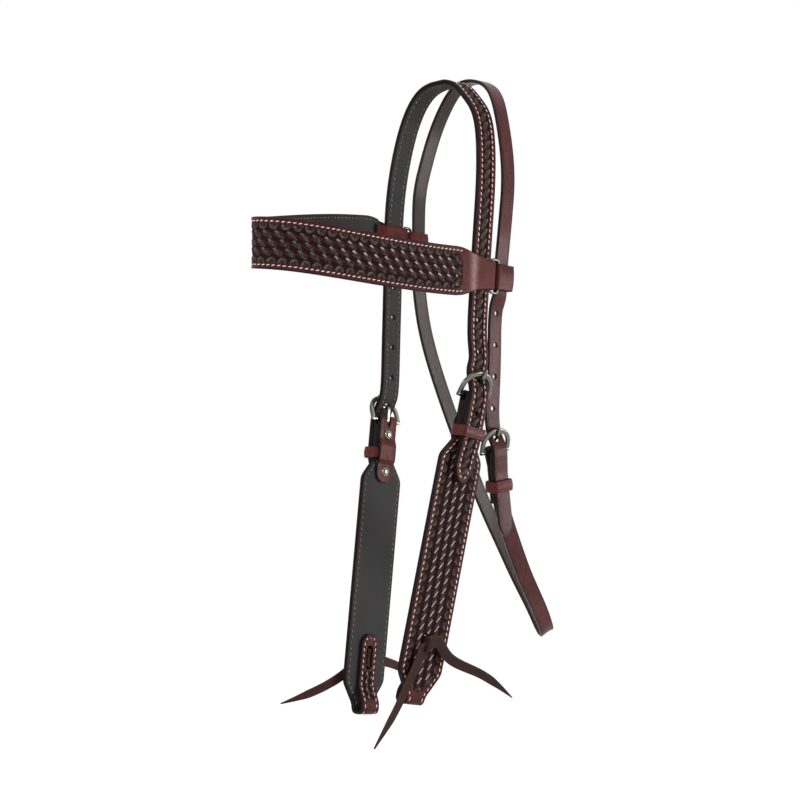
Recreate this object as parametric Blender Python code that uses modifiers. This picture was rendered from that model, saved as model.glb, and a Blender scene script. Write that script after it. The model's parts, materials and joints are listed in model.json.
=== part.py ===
"""A western headstall of tooled leather: crown strap, browband, cheeks, throatlatch and fittings.

Metres, +Z up. The horse faces -Y and its near (left) side is +X. The origin is the middle of the
crown strap's underside at the poll, where the headstall hangs. Every strap is a flat strip laid
along a route: a line through stations, with the direction across the strip at each of them.
"""

import math

import bmesh
import bpy
import numpy as np
from mathutils import Matrix, Vector

# Leather, wire and clearances
CLEARANCE = 0.0003
TOOLED_THICKNESS = 0.0024
LINING_THICKNESS = 0.0014
CHAPE_THICKNESS = 0.0018
KEEPER_THICKNESS = 0.0016
THROAT_THICKNESS = 0.0028
LACE_THICKNESS = 0.0016
EDGE_ROUND = 0.0005
RING_STEP = 0.016
CUT_OVERRUN = 0.003
WELD = 0.00001

# Crown strap
CROWN_WIDTH = 0.01905
HEAD_HALF_WIDTH = 0.0530
POLL_FLAT = 0.014
BILLET_BELOW_BAR = 0.068
BILLET_TIP = 0.013
HOLE_PITCH = 0.0254
HOLE_RADIUS = 0.0022
TONGUE_HOLE_RADIUS = 0.0031
TONGUE_HOLE_RISE = 0.0118
CROWN_HOLES = 5

# Where the cheek buckles hang
BAR_REACH = 0.0511
BAR_LEAD = 0.0250
NEAR_BAR_DROP = 0.2565
FAR_BAR_DROP = 0.2757
NEAR_LEAD_SHARE = 0.225
FAR_LEAD_SHARE = 0.155
CHEEK_TUCK_SHARE = 0.045
FAR_CHEEK_TURN = math.radians(4.0)

# Cheek buckle
BAR_RADIUS = 0.0016
BUCKLE_ROOM = 0.0032
BUCKLE_BAND = 0.0040
BUCKLE_DEPTH = 0.0026
BUCKLE_HEEL = 0.0018
BUCKLE_HEIGHT = 0.0209
BUCKLE_ARM = 0.0060
BUCKLE_ROUND = 0.0008
TONGUE_WIDTH = 0.0030
TONGUE_THICKNESS = 0.0014
TONGUE_OVERHANG = 0.0022
ARCH_LIFT = 0.0075

# Cheek
CHEEK_WIDTH = 0.04445
CHEEK_LENGTH = 0.2415
NECK_WIDTH = 0.0198
NECK_LENGTH = 0.0315
SHOULDER_LENGTH = 0.0185
FOOT_LENGTH = 0.027
FOOT_STRAIGHT = 0.006
BIT_TAB_WIDTH = 0.0190
BIT_TAB_HEIGHT = 0.0620
BIT_LOOP_RADIUS = 0.0026
BIT_SEAT = 0.0036
LOOP_CLOSING = 0.0200
LACE_SLOT_LENGTH = 0.0195
LACE_SLOT_WIDTH = 0.0076
LACE_SLOT_RISE = 0.0455

# Chape, rivets and cheek keeper
CHAPE_INNER_LEG = 0.0523
CHAPE_OUTER_LEG = 0.0380
UPPER_RIVET_DROP = 0.0120
LOWER_RIVET_DROP = 0.0432
RIVET_SHAFT = 0.0013
RIVET_DOME = 0.0039
RIVET_DOME_HEIGHT = 0.0019
RIVET_BURR = 0.0032
RIVET_BURR_HEIGHT = 0.0004
CHEEK_KEEPER_DROP = 0.0280
KEEPER_HEIGHT = 0.0095
KEEPER_PLAY = 0.0020
KEEPER_CORNER = 0.0005

# Browband
BROWBAND_WIDTH = 0.0381
BROWBAND_THICKNESS = 0.0020
BROWBAND_REACH = 0.1680
BROWBAND_TAB_WIDTH = 0.0225
BROWBAND_NECK_WIDTH = 0.0290
BROWBAND_TAPER = 0.0200
BROWBAND_SAG = 0.0027
SLOPE_EVEN_SHARE = 0.28
BROWBAND_TAIL = 0.0205
NEAR_BROWBAND_DROP = 0.1590
FAR_BROWBAND_DROP = 0.1235
LINING_SETBACK = 0.0050
WIRE_RADIUS = 0.0012
WIRE_CORNER = 0.0028
WIRE_ROOM = 0.0008
BROWBAND_RING_REACH = 0.0085
THROAT_LOOP_HEIGHT = 0.0205
LOOP_THICKNESS = 0.0016

# Throatlatch
THROAT_WIDTH = 0.0140
THROAT_BAR_RADIUS = 0.0015
THROAT_BAR_REACH = 0.0485
THROAT_BAR_SET = 0.0029
THROAT_BAR_DROP = 0.2991
THROAT_LEAN_SHARE = 0.135
THROAT_TURN_SHARE = 0.10
THROAT_TURN_BACK = 0.0420
THROAT_BILLET = 0.0690
THROAT_TIP = 0.0110
THROAT_BUCKLE_HEIGHT = 0.0186
THROAT_BUCKLE_ROOM = 0.0040
THROAT_ARCH_LIFT = 0.0056
THROAT_HOLES = 4
THROAT_KEEPER_DROP = 0.0280
THROAT_HOLE_PITCH = 0.0254
THROAT_HOLE_RISE = 0.0092
THROAT_FOLD = 0.0110

# Laces
LACE_WIDTH = 0.0066
LACE_KNOT_WIDTH = 0.0078
LACE_TIP = 0.0260
LACE_RISE = 0.0050
LACE_BEND = 0.0022
LACE_HUMP = 0.0024
LACE_TAIL = 0.0880

# Tails of the laces from the slot's middle: shares of the tail length forward, outward and down
NEAR_REAR_TAIL_SHARES = ((-0.23, 0.086, 0.055), (-0.61, 0.142, 0.160), (-1.02, 0.200, 0.330))
NEAR_FRONT_TAIL_SHARES = (
    (0.075, 0.056, 0.110),
    (0.270, 0.115, 0.510),
    (0.370, 0.150, 0.660),
    (0.520, 0.190, 0.880),
)
FAR_REAR_TAIL_SHARES = ((-0.23, 0.080, 0.010), (-0.52, 0.120, 0.073), (-0.96, 0.170, 0.222))
FAR_FRONT_TAIL_SHARES = (
    (0.100, 0.056, 0.090),
    (0.240, 0.080, 0.195),
    (0.530, 0.120, 0.338),
    (0.855, 0.170, 0.445),
)

# Poll stations of the crown strap's underside: shares of head half width, bar lead and bar drop
NEAR_POLL_SHARES = (
    (0.22, 0.00, 0.014),
    (0.46, -0.02, 0.058),
    (0.70, -0.06, 0.126),
    (0.88, -0.28, 0.280),
    (0.925, -0.44, 0.400),
    (0.920, -0.54, 0.520),
    (0.905, -0.64, 0.670),
    (0.915, -0.74, 0.820),
)
FAR_POLL_SHARES = (
    (0.44, 0.00, 0.008),
    (0.64, -0.03, 0.036),
    (0.86, -0.07, 0.104),
    (0.985, -0.22, 0.212),
    (1.020, -0.38, 0.320),
    (1.005, -0.51, 0.440),
    (0.965, -0.63, 0.605),
    (0.945, -0.73, 0.776),
)

# Throatlatch stations, inner face: shares of head half width, of throat depth and of a drop:
# down to the buckle's bar for the high near ones, from there on for the low near ones, and
# the whole throat drop for the others
THROAT_DEPTH = 0.1080
THROAT_DROP = 0.4620
THROAT_NEAR_LOW_SHARES = (
    (0.700, 0.330, 0.4751),
    (0.540, 0.560, 0.6710),
    (0.330, 0.840, 0.8668),
)
THROAT_BOTTOM_SHARES = ((0.120, 1.020, 0.994), (-0.040, 1.050, 0.982))
THROAT_FAR_SHARES = (
    (-0.160, 1.020, 0.950),
    (-0.400, 0.975, 0.897),
    (-0.610, 0.900, 0.834),
    (-0.780, 0.770, 0.755),
    (-0.930, 0.510, 0.609),
    (-0.990, 0.370, 0.527),
    (-1.010, 0.240, 0.446),
    (-1.000, 0.160, 0.370),
    (-0.965, 0.137, 0.290),
    (-0.990, 0.118, 0.219),
    (-0.975, 0.145, 0.178),
    (-0.900, 0.175, 0.125),
    (-0.780, 0.205, 0.075),
    (-0.560, 0.225, 0.026),
    (-0.200, 0.232, -0.010),
)
THROAT_NEAR_HIGH_SHARES = (
    (0.240, 0.236, -0.0093),
    (0.560, 0.200, 0.0309),
    (0.790, 0.146, 0.0942),
    (0.872, 0.147, 0.1622),
    (0.908, 0.155, 0.2301),
    (0.916, 0.153, 0.2981),
    (0.908, 0.137, 0.3661),
    (0.895, 0.120, 0.4340),
    (0.875, 0.052, 0.6179),
    (0.885, 0.028, 0.7105),
    (0.895, 0.012, 0.8186),
)

# Directions across the throatlatch low down, and across a lace's front tail
THROAT_LOW_ACROSS_SHARES = (0.20, 0.92, 0.30)
THROAT_BOTTOM_ACROSS_SHARES = (0.02, 0.93, 0.36)
LACE_LEAN_SHARES = (0.5, 0.87)

# Strap ends: shares of the end's reach and of the half width
TIP_SHARES = ((0.0, 0.16), (0.12, 0.40), (0.42, 0.75), (1.0, 1.0))
ROUND_END_SHARES = ((0.0, 0.30), (0.08, 0.52), (0.25, 0.76), (0.55, 0.94), (1.0, 1.0))

CENTRIPETAL = 0.5
SPLINE_STEPS = 24
ARCH_STEPS = 12
ARC_STEP = math.radians(30)
SHARP_ANGLE = math.radians(35)
BEVEL_ANGLE = math.radians(50)
UP = Vector((0, 0, 1))
BACK = Vector((0, 1, 0))

GRAIN_DARK = (0.060, 0.022, 0.018, 1)
GRAIN_BURGUNDY = (0.135, 0.030, 0.026, 1)
LINING_CHARCOAL = (0.035, 0.032, 0.033, 1)
LACE_BROWN = (0.075, 0.030, 0.022, 1)
ANTIQUE_NICKEL = (0.42, 0.41, 0.36, 1)
BRIGHT_NICKEL = (0.78, 0.76, 0.72, 1)
DARK_STEEL = (0.16, 0.16, 0.15, 1)


def clear_scene():
    for obj in list(bpy.data.objects):
        bpy.data.objects.remove(obj, do_unlink=True)


def new_collection(name, hidden=False):
    collection = bpy.data.collections.new(name)
    bpy.context.scene.collection.children.link(collection)
    collection.hide_render = hidden
    return collection


def material(name, colour, roughness, metallic=0.0):
    made = bpy.data.materials.new(name)
    made.use_nodes = True
    shader = made.node_tree.nodes["Principled BSDF"]
    shader.inputs["Base Color"].default_value = colour
    shader.inputs["Roughness"].default_value = roughness
    shader.inputs["Metallic"].default_value = metallic
    made.diffuse_color = colour
    return made


clear_scene()
HEADSTALL = new_collection("western_headstall")
CUTTERS = new_collection("cutters", hidden=True)
TOOLED = material("tooled_leather", GRAIN_DARK, 0.45)
SMOOTH = material("smooth_leather", GRAIN_BURGUNDY, 0.38)
LINING = material("lining_leather", LINING_CHARCOAL, 0.6)
LACE = material("lace_leather", LACE_BROWN, 0.55)
BUCKLE_METAL = material("antique_nickel", ANTIQUE_NICKEL, 0.35, 1.0)
RIVET_METAL = material("bright_nickel", BRIGHT_NICKEL, 0.15, 1.0)
RING_METAL = material("dark_steel", DARK_STEEL, 0.4, 1.0)


# Routes


def natural_spline(knots, values, places):
    """A smooth cubic through the values, straight at its two ends."""
    count = len(knots)
    gaps = np.diff(knots)
    matrix = np.eye(count)
    right = np.zeros_like(values)
    for i in range(1, count - 1):
        matrix[i, i - 1 : i + 2] = gaps[i - 1], 2 * (gaps[i - 1] + gaps[i]), gaps[i]
        rise_after = (values[i + 1] - values[i]) / gaps[i]
        rise_before = (values[i] - values[i - 1]) / gaps[i - 1]
        right[i] = 6 * (rise_after - rise_before)
    bend = np.linalg.solve(matrix, right)
    i = np.clip(np.searchsorted(knots, places, side="right") - 1, 0, count - 2)
    gap = gaps[i][:, None]
    before = (knots[i + 1] - places)[:, None] / gap
    after = 1 - before
    cubic = (before**3 - before) * bend[i] + (after**3 - after) * bend[i + 1]
    return before * values[i] + after * values[i + 1] + cubic * gap**2 / 6


def smooth_points(stations, across):
    """Close points on a smooth line through the stations, and the across direction at each."""
    stations = np.array([tuple(p) for p in stations], float)
    across = np.array([tuple(a) for a in across], float)
    gaps = np.linalg.norm(np.diff(stations, axis=0), axis=1) ** CENTRIPETAL
    knots = np.concatenate([[0.0], np.cumsum(gaps)])
    shares = np.arange(SPLINE_STEPS * (len(knots) - 1) + 1) / SPLINE_STEPS
    places = np.interp(shares, np.arange(len(knots)), knots)
    hints = np.stack([np.interp(places, knots, across[:, k]) for k in range(3)], -1)
    return natural_spline(knots, stations, places), hints


def rounded_line(corners, radii):
    """The points of a line whose inner corners are rounded by arcs; a radius of 0 keeps a corner."""
    points = [np.array(corners[0], float)]
    for i in range(1, len(corners) - 1):
        before, here, after = (np.array(corners[k], float) for k in (i - 1, i, i + 1))
        into = (here - before) / np.linalg.norm(here - before)
        out = (after - here) / np.linalg.norm(after - here)
        turn = math.acos(max(-1.0, min(1.0, float(into @ out))))
        if radii[i] == 0 or turn == 0:
            points.append(here)
            continue
        setback = radii[i] * math.tan(turn / 2)
        normal = out - into * float(into @ out)
        normal = normal / np.linalg.norm(normal)
        start = here - into * setback
        steps = max(2, math.ceil(turn / ARC_STEP))
        for k in range(steps + 1):
            angle = turn * k / steps
            along = into * radii[i] * math.sin(angle)
            points.append(start + along + normal * radii[i] * (1 - math.cos(angle)))
    points.append(np.array(corners[-1], float))
    return np.array(points)


class Route:
    """A line in space with the strip's frame at each point: along, across and outward."""

    def __init__(self, points, across):
        points = np.array([tuple(p) for p in points], float)
        across = np.array([tuple(a) for a in across], float)
        steps = np.linalg.norm(np.diff(points, axis=0), axis=1)
        keep = np.concatenate([[True], steps > CLEARANCE / 10])
        self.points = points[keep]
        self.across = across[keep]
        steps = np.linalg.norm(np.diff(self.points, axis=0), axis=1)
        self.places = np.concatenate([[0.0], np.cumsum(steps)])
        self.length = float(self.places[-1])
        chords = np.diff(self.points, axis=0) / steps[:, None]
        along = np.vstack([chords[:1], chords[:-1] + chords[1:], chords[-1:]])
        self.along = along / np.linalg.norm(along, axis=1)[:, None]

    def value(self, table, place):
        return Vector([float(np.interp(place, self.places, table[:, k])) for k in range(3)])

    def at(self, place):
        """The point at an arc length, and the directions along, across and outward there."""
        point = self.value(self.points, place)
        along = self.value(self.along, place).normalized()
        across = self.value(self.across, place)
        across = (across - along * across.dot(along)).normalized()
        return point, along, across, along.cross(across)

    def nearest(self, target):
        """The arc length of the route's nearest point to a target."""
        starts = self.points[:-1]
        chords = np.diff(self.points, axis=0)
        lengths = np.linalg.norm(chords, axis=1)
        reach = np.array(tuple(target)) - starts
        shares = np.clip((reach * chords).sum(1) / lengths**2, 0, 1)
        gaps = np.linalg.norm(reach - chords * shares[:, None], axis=1)
        best = int(np.argmin(gaps))
        return float(self.places[best] + shares[best] * lengths[best])

    def rings(self, start, end, step=None, extra=()):
        """Arc lengths for cross-sections: the line's own points, or even steps, and the extras."""
        if step is None:
            inner = [float(s) for s in self.places if start < s < end]
        else:
            count = max(1, round((end - start) / step))
            inner = [start + (end - start) * k / count for k in range(1, count)]
        wanted = [s for s in extra if start < s < end]
        spare = [s for s in inner if all(abs(s - w) > CLEARANCE for w in wanted)]
        return [start] + sorted(spare + wanted) + [end]


def local_route(corners, radii, across=(-1, 0, 0)):
    """A route in the local plane x = 0, from (outward, up) corners."""
    line = rounded_line(corners, radii)
    points = [(0.0, outward, up) for outward, up in line]
    return Route(points, [across] * len(points))


# Solids


def add_object(name, mesh, surface, parent=None, collection=None):
    obj = bpy.data.objects.new(name, mesh)
    (collection or HEADSTALL).objects.link(obj)
    if surface:
        mesh.materials.append(surface)
    obj.parent = parent
    return obj


def mesh_object(name, bm, surface, parent=None, collection=None):
    mesh = bpy.data.meshes.new(name)
    bm.to_mesh(mesh)
    bm.free()
    return add_object(name, mesh, surface, parent, collection)


def frame_at(name, matrix):
    """An empty that carries the pieces of one fitting."""
    empty = bpy.data.objects.new(name, None)
    HEADSTALL.objects.link(empty)
    empty.matrix_world = matrix
    empty.empty_display_size = HOLE_PITCH
    return empty


def frame_matrix(origin, forward, outward, up):
    matrix = Matrix((forward, outward, up)).transposed().to_4x4()
    matrix.translation = origin
    return matrix


def solidify(obj, thickness, side=1):
    shell = obj.modifiers.new("thickness", "SOLIDIFY")
    shell.thickness = thickness
    shell.offset = side
    shell.use_even_offset = True


def round_edges(obj, width, segments=1):
    bevel = obj.modifiers.new("edges", "BEVEL")
    bevel.width = width
    bevel.segments = segments
    bevel.limit_method = "ANGLE"
    bevel.angle_limit = BEVEL_ANGLE


def smooth_faces(obj):
    obj.data.shade_smooth()
    obj.data.set_sharp_from_angle(angle=SHARP_ANGLE)


def cut_away(obj, cutter, operation="DIFFERENCE"):
    cut = obj.modifiers.new(cutter.name, "BOOLEAN")
    cut.operation = operation
    cut.object = cutter
    cut.solver = "EXACT"


def hide_cutter(cutter):
    cutter.hide_render = True
    cutter.display_type = "WIRE"
    return cutter


def strip(
    name,
    route,
    rings,
    half_width,
    base,
    thickness,
    surface,
    parent=None,
    edge=EDGE_ROUND,
    side=1,
):
    """A flat strip laid along a route: one face at the base height, the other outward of it.

    With side -1 the other face is inward of it.
    """
    bm = bmesh.new()
    bmesh.ops.create_grid(bm, x_segments=len(rings) - 1, y_segments=1, size=1)
    frames = [route.at(place) for place in rings]
    for vert in bm.verts:
        i = round((vert.co.x + 1) / 2 * (len(rings) - 1))
        point, _, across, outward = frames[i]
        vert.co = point + across * vert.co.y * half_width(rings[i]) + outward * base
    obj = mesh_object(name, bm, surface, parent)
    solidify(obj, thickness, side)
    if edge:
        round_edges(obj, edge)
    smooth_faces(obj)
    return obj


def width_table(pairs):
    """Half width as a function of arc length, straight between the given pairs."""
    places = [p for p, _ in pairs]
    halves = [h for _, h in pairs]
    return lambda place: float(np.interp(place, places, halves))


def tip_pairs(end, reach, half, sign, shares):
    """Half widths of a pointed or round end: shares of its reach and of the half width."""
    return [(end + sign * a * reach, half * b) for a, b in shares]


def rod_between(name, start, end, radius, sides=16, collection=None, parent=None, surface=None):
    axis = Vector(end) - Vector(start)
    bm = bmesh.new()
    bmesh.ops.create_cone(
        bm, cap_ends=True, segments=sides, radius1=radius, radius2=radius, depth=axis.length
    )
    turn = UP.rotation_difference(axis).to_matrix().to_4x4()
    middle = Matrix.Translation((Vector(start) + Vector(end)) / 2)
    bmesh.ops.transform(bm, matrix=middle @ turn, verts=bm.verts)
    return mesh_object(name, bm, surface, parent, collection)


def hole_cutter(name, places, parent=None):
    """One cutter of round punches: each place is (point, direction, radius, reach)."""
    bm = bmesh.new()
    for point, direction, radius, reach in places:
        turn = UP.rotation_difference(direction).to_matrix().to_4x4()
        spot = Matrix.Translation(point) @ turn
        bmesh.ops.create_cone(
            bm, cap_ends=True, segments=10, radius1=radius, radius2=radius, depth=reach, matrix=spot
        )
    return hide_cutter(mesh_object(name, bm, None, parent, CUTTERS))


def slot_cutter(name, low, high, width, depth_from, depth_to, parent):
    """A slot with round ends along local Z, cut through along local Y."""
    bm = bmesh.new()
    half = width / 2
    rim = []
    for hub, first in ((high - half, 0), (low + half, 1)):
        for k in range(9):
            angle = math.pi * (first + k / 8)
            spot = (half * math.cos(angle), depth_from, hub + half * math.sin(angle))
            rim.append(bm.verts.new(spot))
    face = bm.faces.new(rim)
    raised = bmesh.ops.extrude_face_region(bm, geom=[face])["geom"]
    moved = [item for item in raised if isinstance(item, bmesh.types.BMVert)]
    bmesh.ops.translate(bm, verts=moved, vec=(0, depth_to - depth_from, 0))
    bmesh.ops.recalc_face_normals(bm, faces=bm.faces)
    return hide_cutter(mesh_object(name, bm, None, parent, CUTTERS))


def box_outline(low, high, corner, steps=2):
    """A rounded rectangle, anticlockwise, from its low and high corners."""
    points = []
    middle = (np.array(low) + np.array(high)) / 2
    half = (np.array(high) - np.array(low)) / 2
    for quarter, (sx, sy) in enumerate(((1, 1), (-1, 1), (-1, -1), (1, -1))):
        hub = middle + np.array((sx, sy)) * (half - corner)
        for k in range(steps + 1):
            angle = math.radians(90) * (quarter + k / steps)
            points.append(hub + corner * np.array((math.cos(angle), math.sin(angle))))
    return points


def leather_ring(name, outline, height, wall, surface, parent, middle=0.0):
    """A closed loop of leather: an open sleeve on the outline, thickened outwards."""
    bm = bmesh.new()
    count = len(outline)
    bmesh.ops.create_cone(
        bm, cap_ends=False, segments=count, radius1=1, radius2=1, depth=height
    )
    for vert in bm.verts:
        turn = math.atan2(vert.co.y, vert.co.x) / math.tau
        spot = outline[round(turn * count) % count]
        vert.co = (spot[0], spot[1], vert.co.z + middle)
    obj = mesh_object(name, bm, surface, parent)
    solidify(obj, wall)
    round_edges(obj, EDGE_ROUND)
    smooth_faces(obj)
    return obj


def turned(name, profile, surface, parent, matrix, steps=14):
    """A turned piece: (radius, height) from its top at the axis down to its bottom at the axis."""
    bm = bmesh.new()
    verts = [bm.verts.new((radius, 0, height)) for radius, height in profile]
    for first, second in zip(verts, verts[1:]):
        bm.edges.new((first, second))
    obj = mesh_object(name, bm, surface, parent)
    obj.matrix_local = matrix
    screw = obj.modifiers.new("turn", "SCREW")
    screw.steps = steps
    screw.render_steps = steps
    screw.use_merge_vertices = True
    screw.merge_threshold = WELD
    smooth_faces(obj)
    return obj


def wire_loop(name, points, radius, surface, parent):
    """A closed wire through the points."""
    curve = bpy.data.curves.new(name, "CURVE")
    curve.dimensions = "3D"
    curve.bevel_depth = radius
    curve.bevel_resolution = 2
    spline = curve.splines.new("POLY")
    spline.points.add(len(points) - 1)
    for point, spot in zip(spline.points, points):
        point.co = (*spot, 1)
    spline.use_cyclic_u = True
    obj = bpy.data.objects.new(name, curve)
    HEADSTALL.objects.link(obj)
    curve.materials.append(surface)
    obj.parent = parent
    return obj


# Cheek stack: heights outward from the middle of the cheek

PANEL_DEPTH = LINING_THICKNESS + CLEARANCE + TOOLED_THICKNESS
LINING_BASE = -PANEL_DEPTH / 2
TOOLED_BASE = LINING_BASE + LINING_THICKNESS + CLEARANCE
LEG = PANEL_DEPTH / 2 + CLEARANCE
LEG_OVER_KEEPER = LEG + KEEPER_THICKNESS + CLEARANCE
BURR_BASE = LEG + CHAPE_THICKNESS + CLEARANCE
BILLET_BASE = BURR_BASE + RIVET_BURR_HEIGHT + CLEARANCE
KEEPER_TOP = BILLET_BASE + PANEL_DEPTH + CLEARANCE
LOW_BURR_TOP = LEG + RIVET_BURR_HEIGHT
NECK_TOP = -(BAR_RADIUS + CLEARANCE + TONGUE_THICKNESS + CLEARANCE + CLEARANCE)
BILLET_UNDER_ARCH = -PANEL_DEPTH * 3 / 4


def seat_matrix(side, drop, lead, turn):
    """The frame at a cheek buckle's bar: X along the bar, Y outward, Z up the cheek."""
    up = Vector((side * CHEEK_TUCK_SHARE, lead, 1)).normalized()
    outward = Matrix.Rotation(side * turn, 3, "Z") @ Vector((side, 0, 0))
    outward = (outward - up * outward.dot(up)).normalized()
    forward = outward.cross(up)
    return frame_matrix(Vector((side * BAR_REACH, -BAR_LEAD, -drop)), forward, outward, up)


NEAR_SEAT = seat_matrix(1, NEAR_BAR_DROP, NEAR_LEAD_SHARE, 0.0)
FAR_SEAT = seat_matrix(-1, FAR_BAR_DROP, FAR_LEAD_SHARE, -FAR_CHEEK_TURN)


def billet_line(below_bar):
    """The crown strap's inner face at a cheek buckle, (outward, up), from its tip upwards."""
    over_keeper = (BILLET_BASE, -CHAPE_OUTER_LEG + KEEPER_PLAY)
    past_burr = (LOW_BURR_TOP + CLEARANCE * 2, -LOWER_RIVET_DROP - RIVET_BURR - CLEARANCE)
    if -below_bar < past_burr[1]:
        tip = [(LEG + CLEARANCE, -below_bar), past_burr]
    else:
        share = (-below_bar - over_keeper[1]) / (past_burr[1] - over_keeper[1])
        tip = [(BILLET_BASE + share * (past_burr[0] - BILLET_BASE), -below_bar)]
    corners = tip + [
        over_keeper,
        (BILLET_BASE, TONGUE_HOLE_RISE / 4),
        (BILLET_UNDER_ARCH, BUCKLE_HEIGHT - BUCKLE_BAND / 2),
        (BILLET_UNDER_ARCH, BUCKLE_HEIGHT * 3 / 2),
    ]
    bend = BUCKLE_HEIGHT
    return rounded_line(corners, [0] + [bend] * (len(corners) - 2) + [0])


NEAR_BILLET = billet_line(BILLET_BELOW_BAR)
FAR_BILLET = billet_line(BILLET_BELOW_BAR - HOLE_PITCH)


def crown_route():
    near_line = [NEAR_SEAT @ Vector((0, y, z)) for y, z in NEAR_BILLET]
    far_line = [FAR_SEAT @ Vector((0, y, z)) for y, z in FAR_BILLET]
    flat = POLL_FLAT / 2
    shift = -POLL_FLAT * 3 / 7
    stations = [near_line[-2], near_line[-1]]
    for x, y, z in reversed(NEAR_POLL_SHARES):
        stations.append((x * HEAD_HALF_WIDTH, y * BAR_LEAD, -z * NEAR_BAR_DROP))
    stations.append((flat + shift, 0, 0))
    up_points, _ = smooth_points(stations, [-BACK] * len(stations))
    stations = [(-flat + shift, 0, 0)]
    for x, y, z in FAR_POLL_SHARES:
        stations.append((-x * HEAD_HALF_WIDTH, y * BAR_LEAD, -z * FAR_BAR_DROP))
    stations += [far_line[-1], far_line[-2]]
    down_points, _ = smooth_points(stations, [-BACK] * len(stations))
    points = near_line[:-2] + list(up_points) + list(down_points) + far_line[-3::-1]
    near_across = NEAR_SEAT.to_3x3() @ Vector((1, 0, 0))
    far_across = FAR_SEAT.to_3x3() @ Vector((-1, 0, 0))
    across = [near_across] * (len(near_line) - 2)
    for point in list(up_points) + list(down_points):
        x = float(point[0]) / BAR_REACH
        depth = min(1.0, max(0.0, -float(point[2]) / NEAR_BAR_DROP))
        seat = near_across if x > 0 else far_across
        across.append((-BACK).lerp(seat, depth))
    across += [far_across] * (len(far_line) - 2)
    return Route(points, across)


def crown_rings(route):
    """Close rings through the buckle bends, even steps over the poll."""
    near_top = route.nearest(NEAR_SEAT @ Vector((0, BILLET_UNDER_ARCH, BUCKLE_HEIGHT * 3 / 2)))
    far_top = route.nearest(FAR_SEAT @ Vector((0, BILLET_UNDER_ARCH, BUCKLE_HEIGHT * 3 / 2)))
    tips = [BILLET_TIP * share for share, _ in TIP_SHARES[1:]]
    near = route.rings(0.0, near_top, extra=tips)
    far = route.rings(far_top, route.length, extra=[route.length - t for t in tips])
    poll = [route.nearest((-POLL_FLAT * k / 14, 0, 0)) for k in (13, -1)]
    return near[:-1] + route.rings(near_top, far_top, RING_STEP, extra=poll) + far[1:]


def crown_width(route):
    half = CROWN_WIDTH / 2
    start = tip_pairs(0.0, BILLET_TIP, half, 1, TIP_SHARES)
    end = tip_pairs(route.length, BILLET_TIP, half, -1, TIP_SHARES)
    return width_table(start + end[::-1])


def crown_hole_places(route):
    """Arc lengths of the tongue holes of both ends, then of the other billet holes."""
    tongues = []
    others = []
    for seat, line, sign, first in ((NEAR_SEAT, NEAR_BILLET, 1, -1), (FAR_SEAT, FAR_BILLET, -1, 0)):
        out = outward_at(line, TONGUE_HOLE_RISE)
        start = route.nearest(seat @ Vector((0, out, TONGUE_HOLE_RISE)))
        tongues.append(start)
        steps = [k for k in range(first, first + CROWN_HOLES) if k]
        others += [start + sign * k * HOLE_PITCH for k in steps]
    return tongues, others


def strap_punch(name, route, tongues, others, depth):
    """Round holes through a strap: larger ones for buckle tongues."""
    punches = []
    for radius, places in ((TONGUE_HOLE_RADIUS, tongues), (HOLE_RADIUS, others)):
        for place in places:
            point, _, _, outward = route.at(place)
            middle = point + outward * depth / 2
            punches.append((middle, outward, radius, depth + CUT_OVERRUN))
    return hole_cutter(name, punches)


def clear_of(rings, places, reach):
    """The cross-sections that miss the holes, so that each hole lies in one flat stretch."""
    return [s for s in rings if all(abs(s - place) > reach for place in places)]


def build_crown():
    route = crown_route()
    tongues, others = crown_hole_places(route)
    rings = clear_of(crown_rings(route), tongues + others, HOLE_RADIUS + CLEARANCE)
    width = crown_width(route)
    holes = strap_punch("crown_hole_punch", route, tongues, others, PANEL_DEPTH)
    outer_base = LINING_THICKNESS + CLEARANCE
    outer = strip("crown_outer", route, rings, width, outer_base, TOOLED_THICKNESS, TOOLED)
    lining = strip("crown_lining", route, rings, width, 0.0, LINING_THICKNESS, LINING, edge=0)
    cut_away(outer, holes)
    cut_away(lining, holes)
    return route


# Cheeks


def cheek_outer_line():
    """The tooled layer's inner face, (outward, up): down the cheek, round the bit loop, up behind."""
    bottom = -CHEEK_LENGTH + TOOLED_THICKNESS
    radius = BIT_LOOP_RADIUS
    deep = TOOLED_BASE - 2 * radius - BIT_SEAT
    closed = LINING_BASE - CLEARANCE
    easy = LOOP_CLOSING / 2
    corners = [
        (TOOLED_BASE, NECK_TOP),
        (TOOLED_BASE, bottom),
        (deep, bottom),
        (deep, bottom + LOOP_CLOSING / 3),
        (closed, bottom + LOOP_CLOSING),
        (closed, bottom + BIT_TAB_HEIGHT),
    ]
    return corners, [0, radius, radius, easy, easy, 0]


def panel_pairs(top, bottom):
    """Half widths from the neck to the foot of the cheek, by distance down from its top."""
    neck = NECK_WIDTH / 2
    full = CHEEK_WIDTH / 2
    foot = BIT_TAB_WIDTH / 2
    length = top - bottom
    shoulder = NECK_LENGTH + top
    return [
        (0.0, neck),
        (shoulder, neck),
        (shoulder + SHOULDER_LENGTH * 0.12, neck + (full - neck) * 0.07),
        (shoulder + SHOULDER_LENGTH * 0.88, neck + (full - neck) * 0.93),
        (shoulder + SHOULDER_LENGTH, full),
        (length - FOOT_LENGTH, full),
        (length - FOOT_LENGTH * 0.90, full - (full - foot) * 0.05),
        (length - FOOT_STRAIGHT * 1.3, foot + (full - foot) * 0.06),
        (length - FOOT_STRAIGHT, foot),
        (length, foot),
    ]


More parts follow.
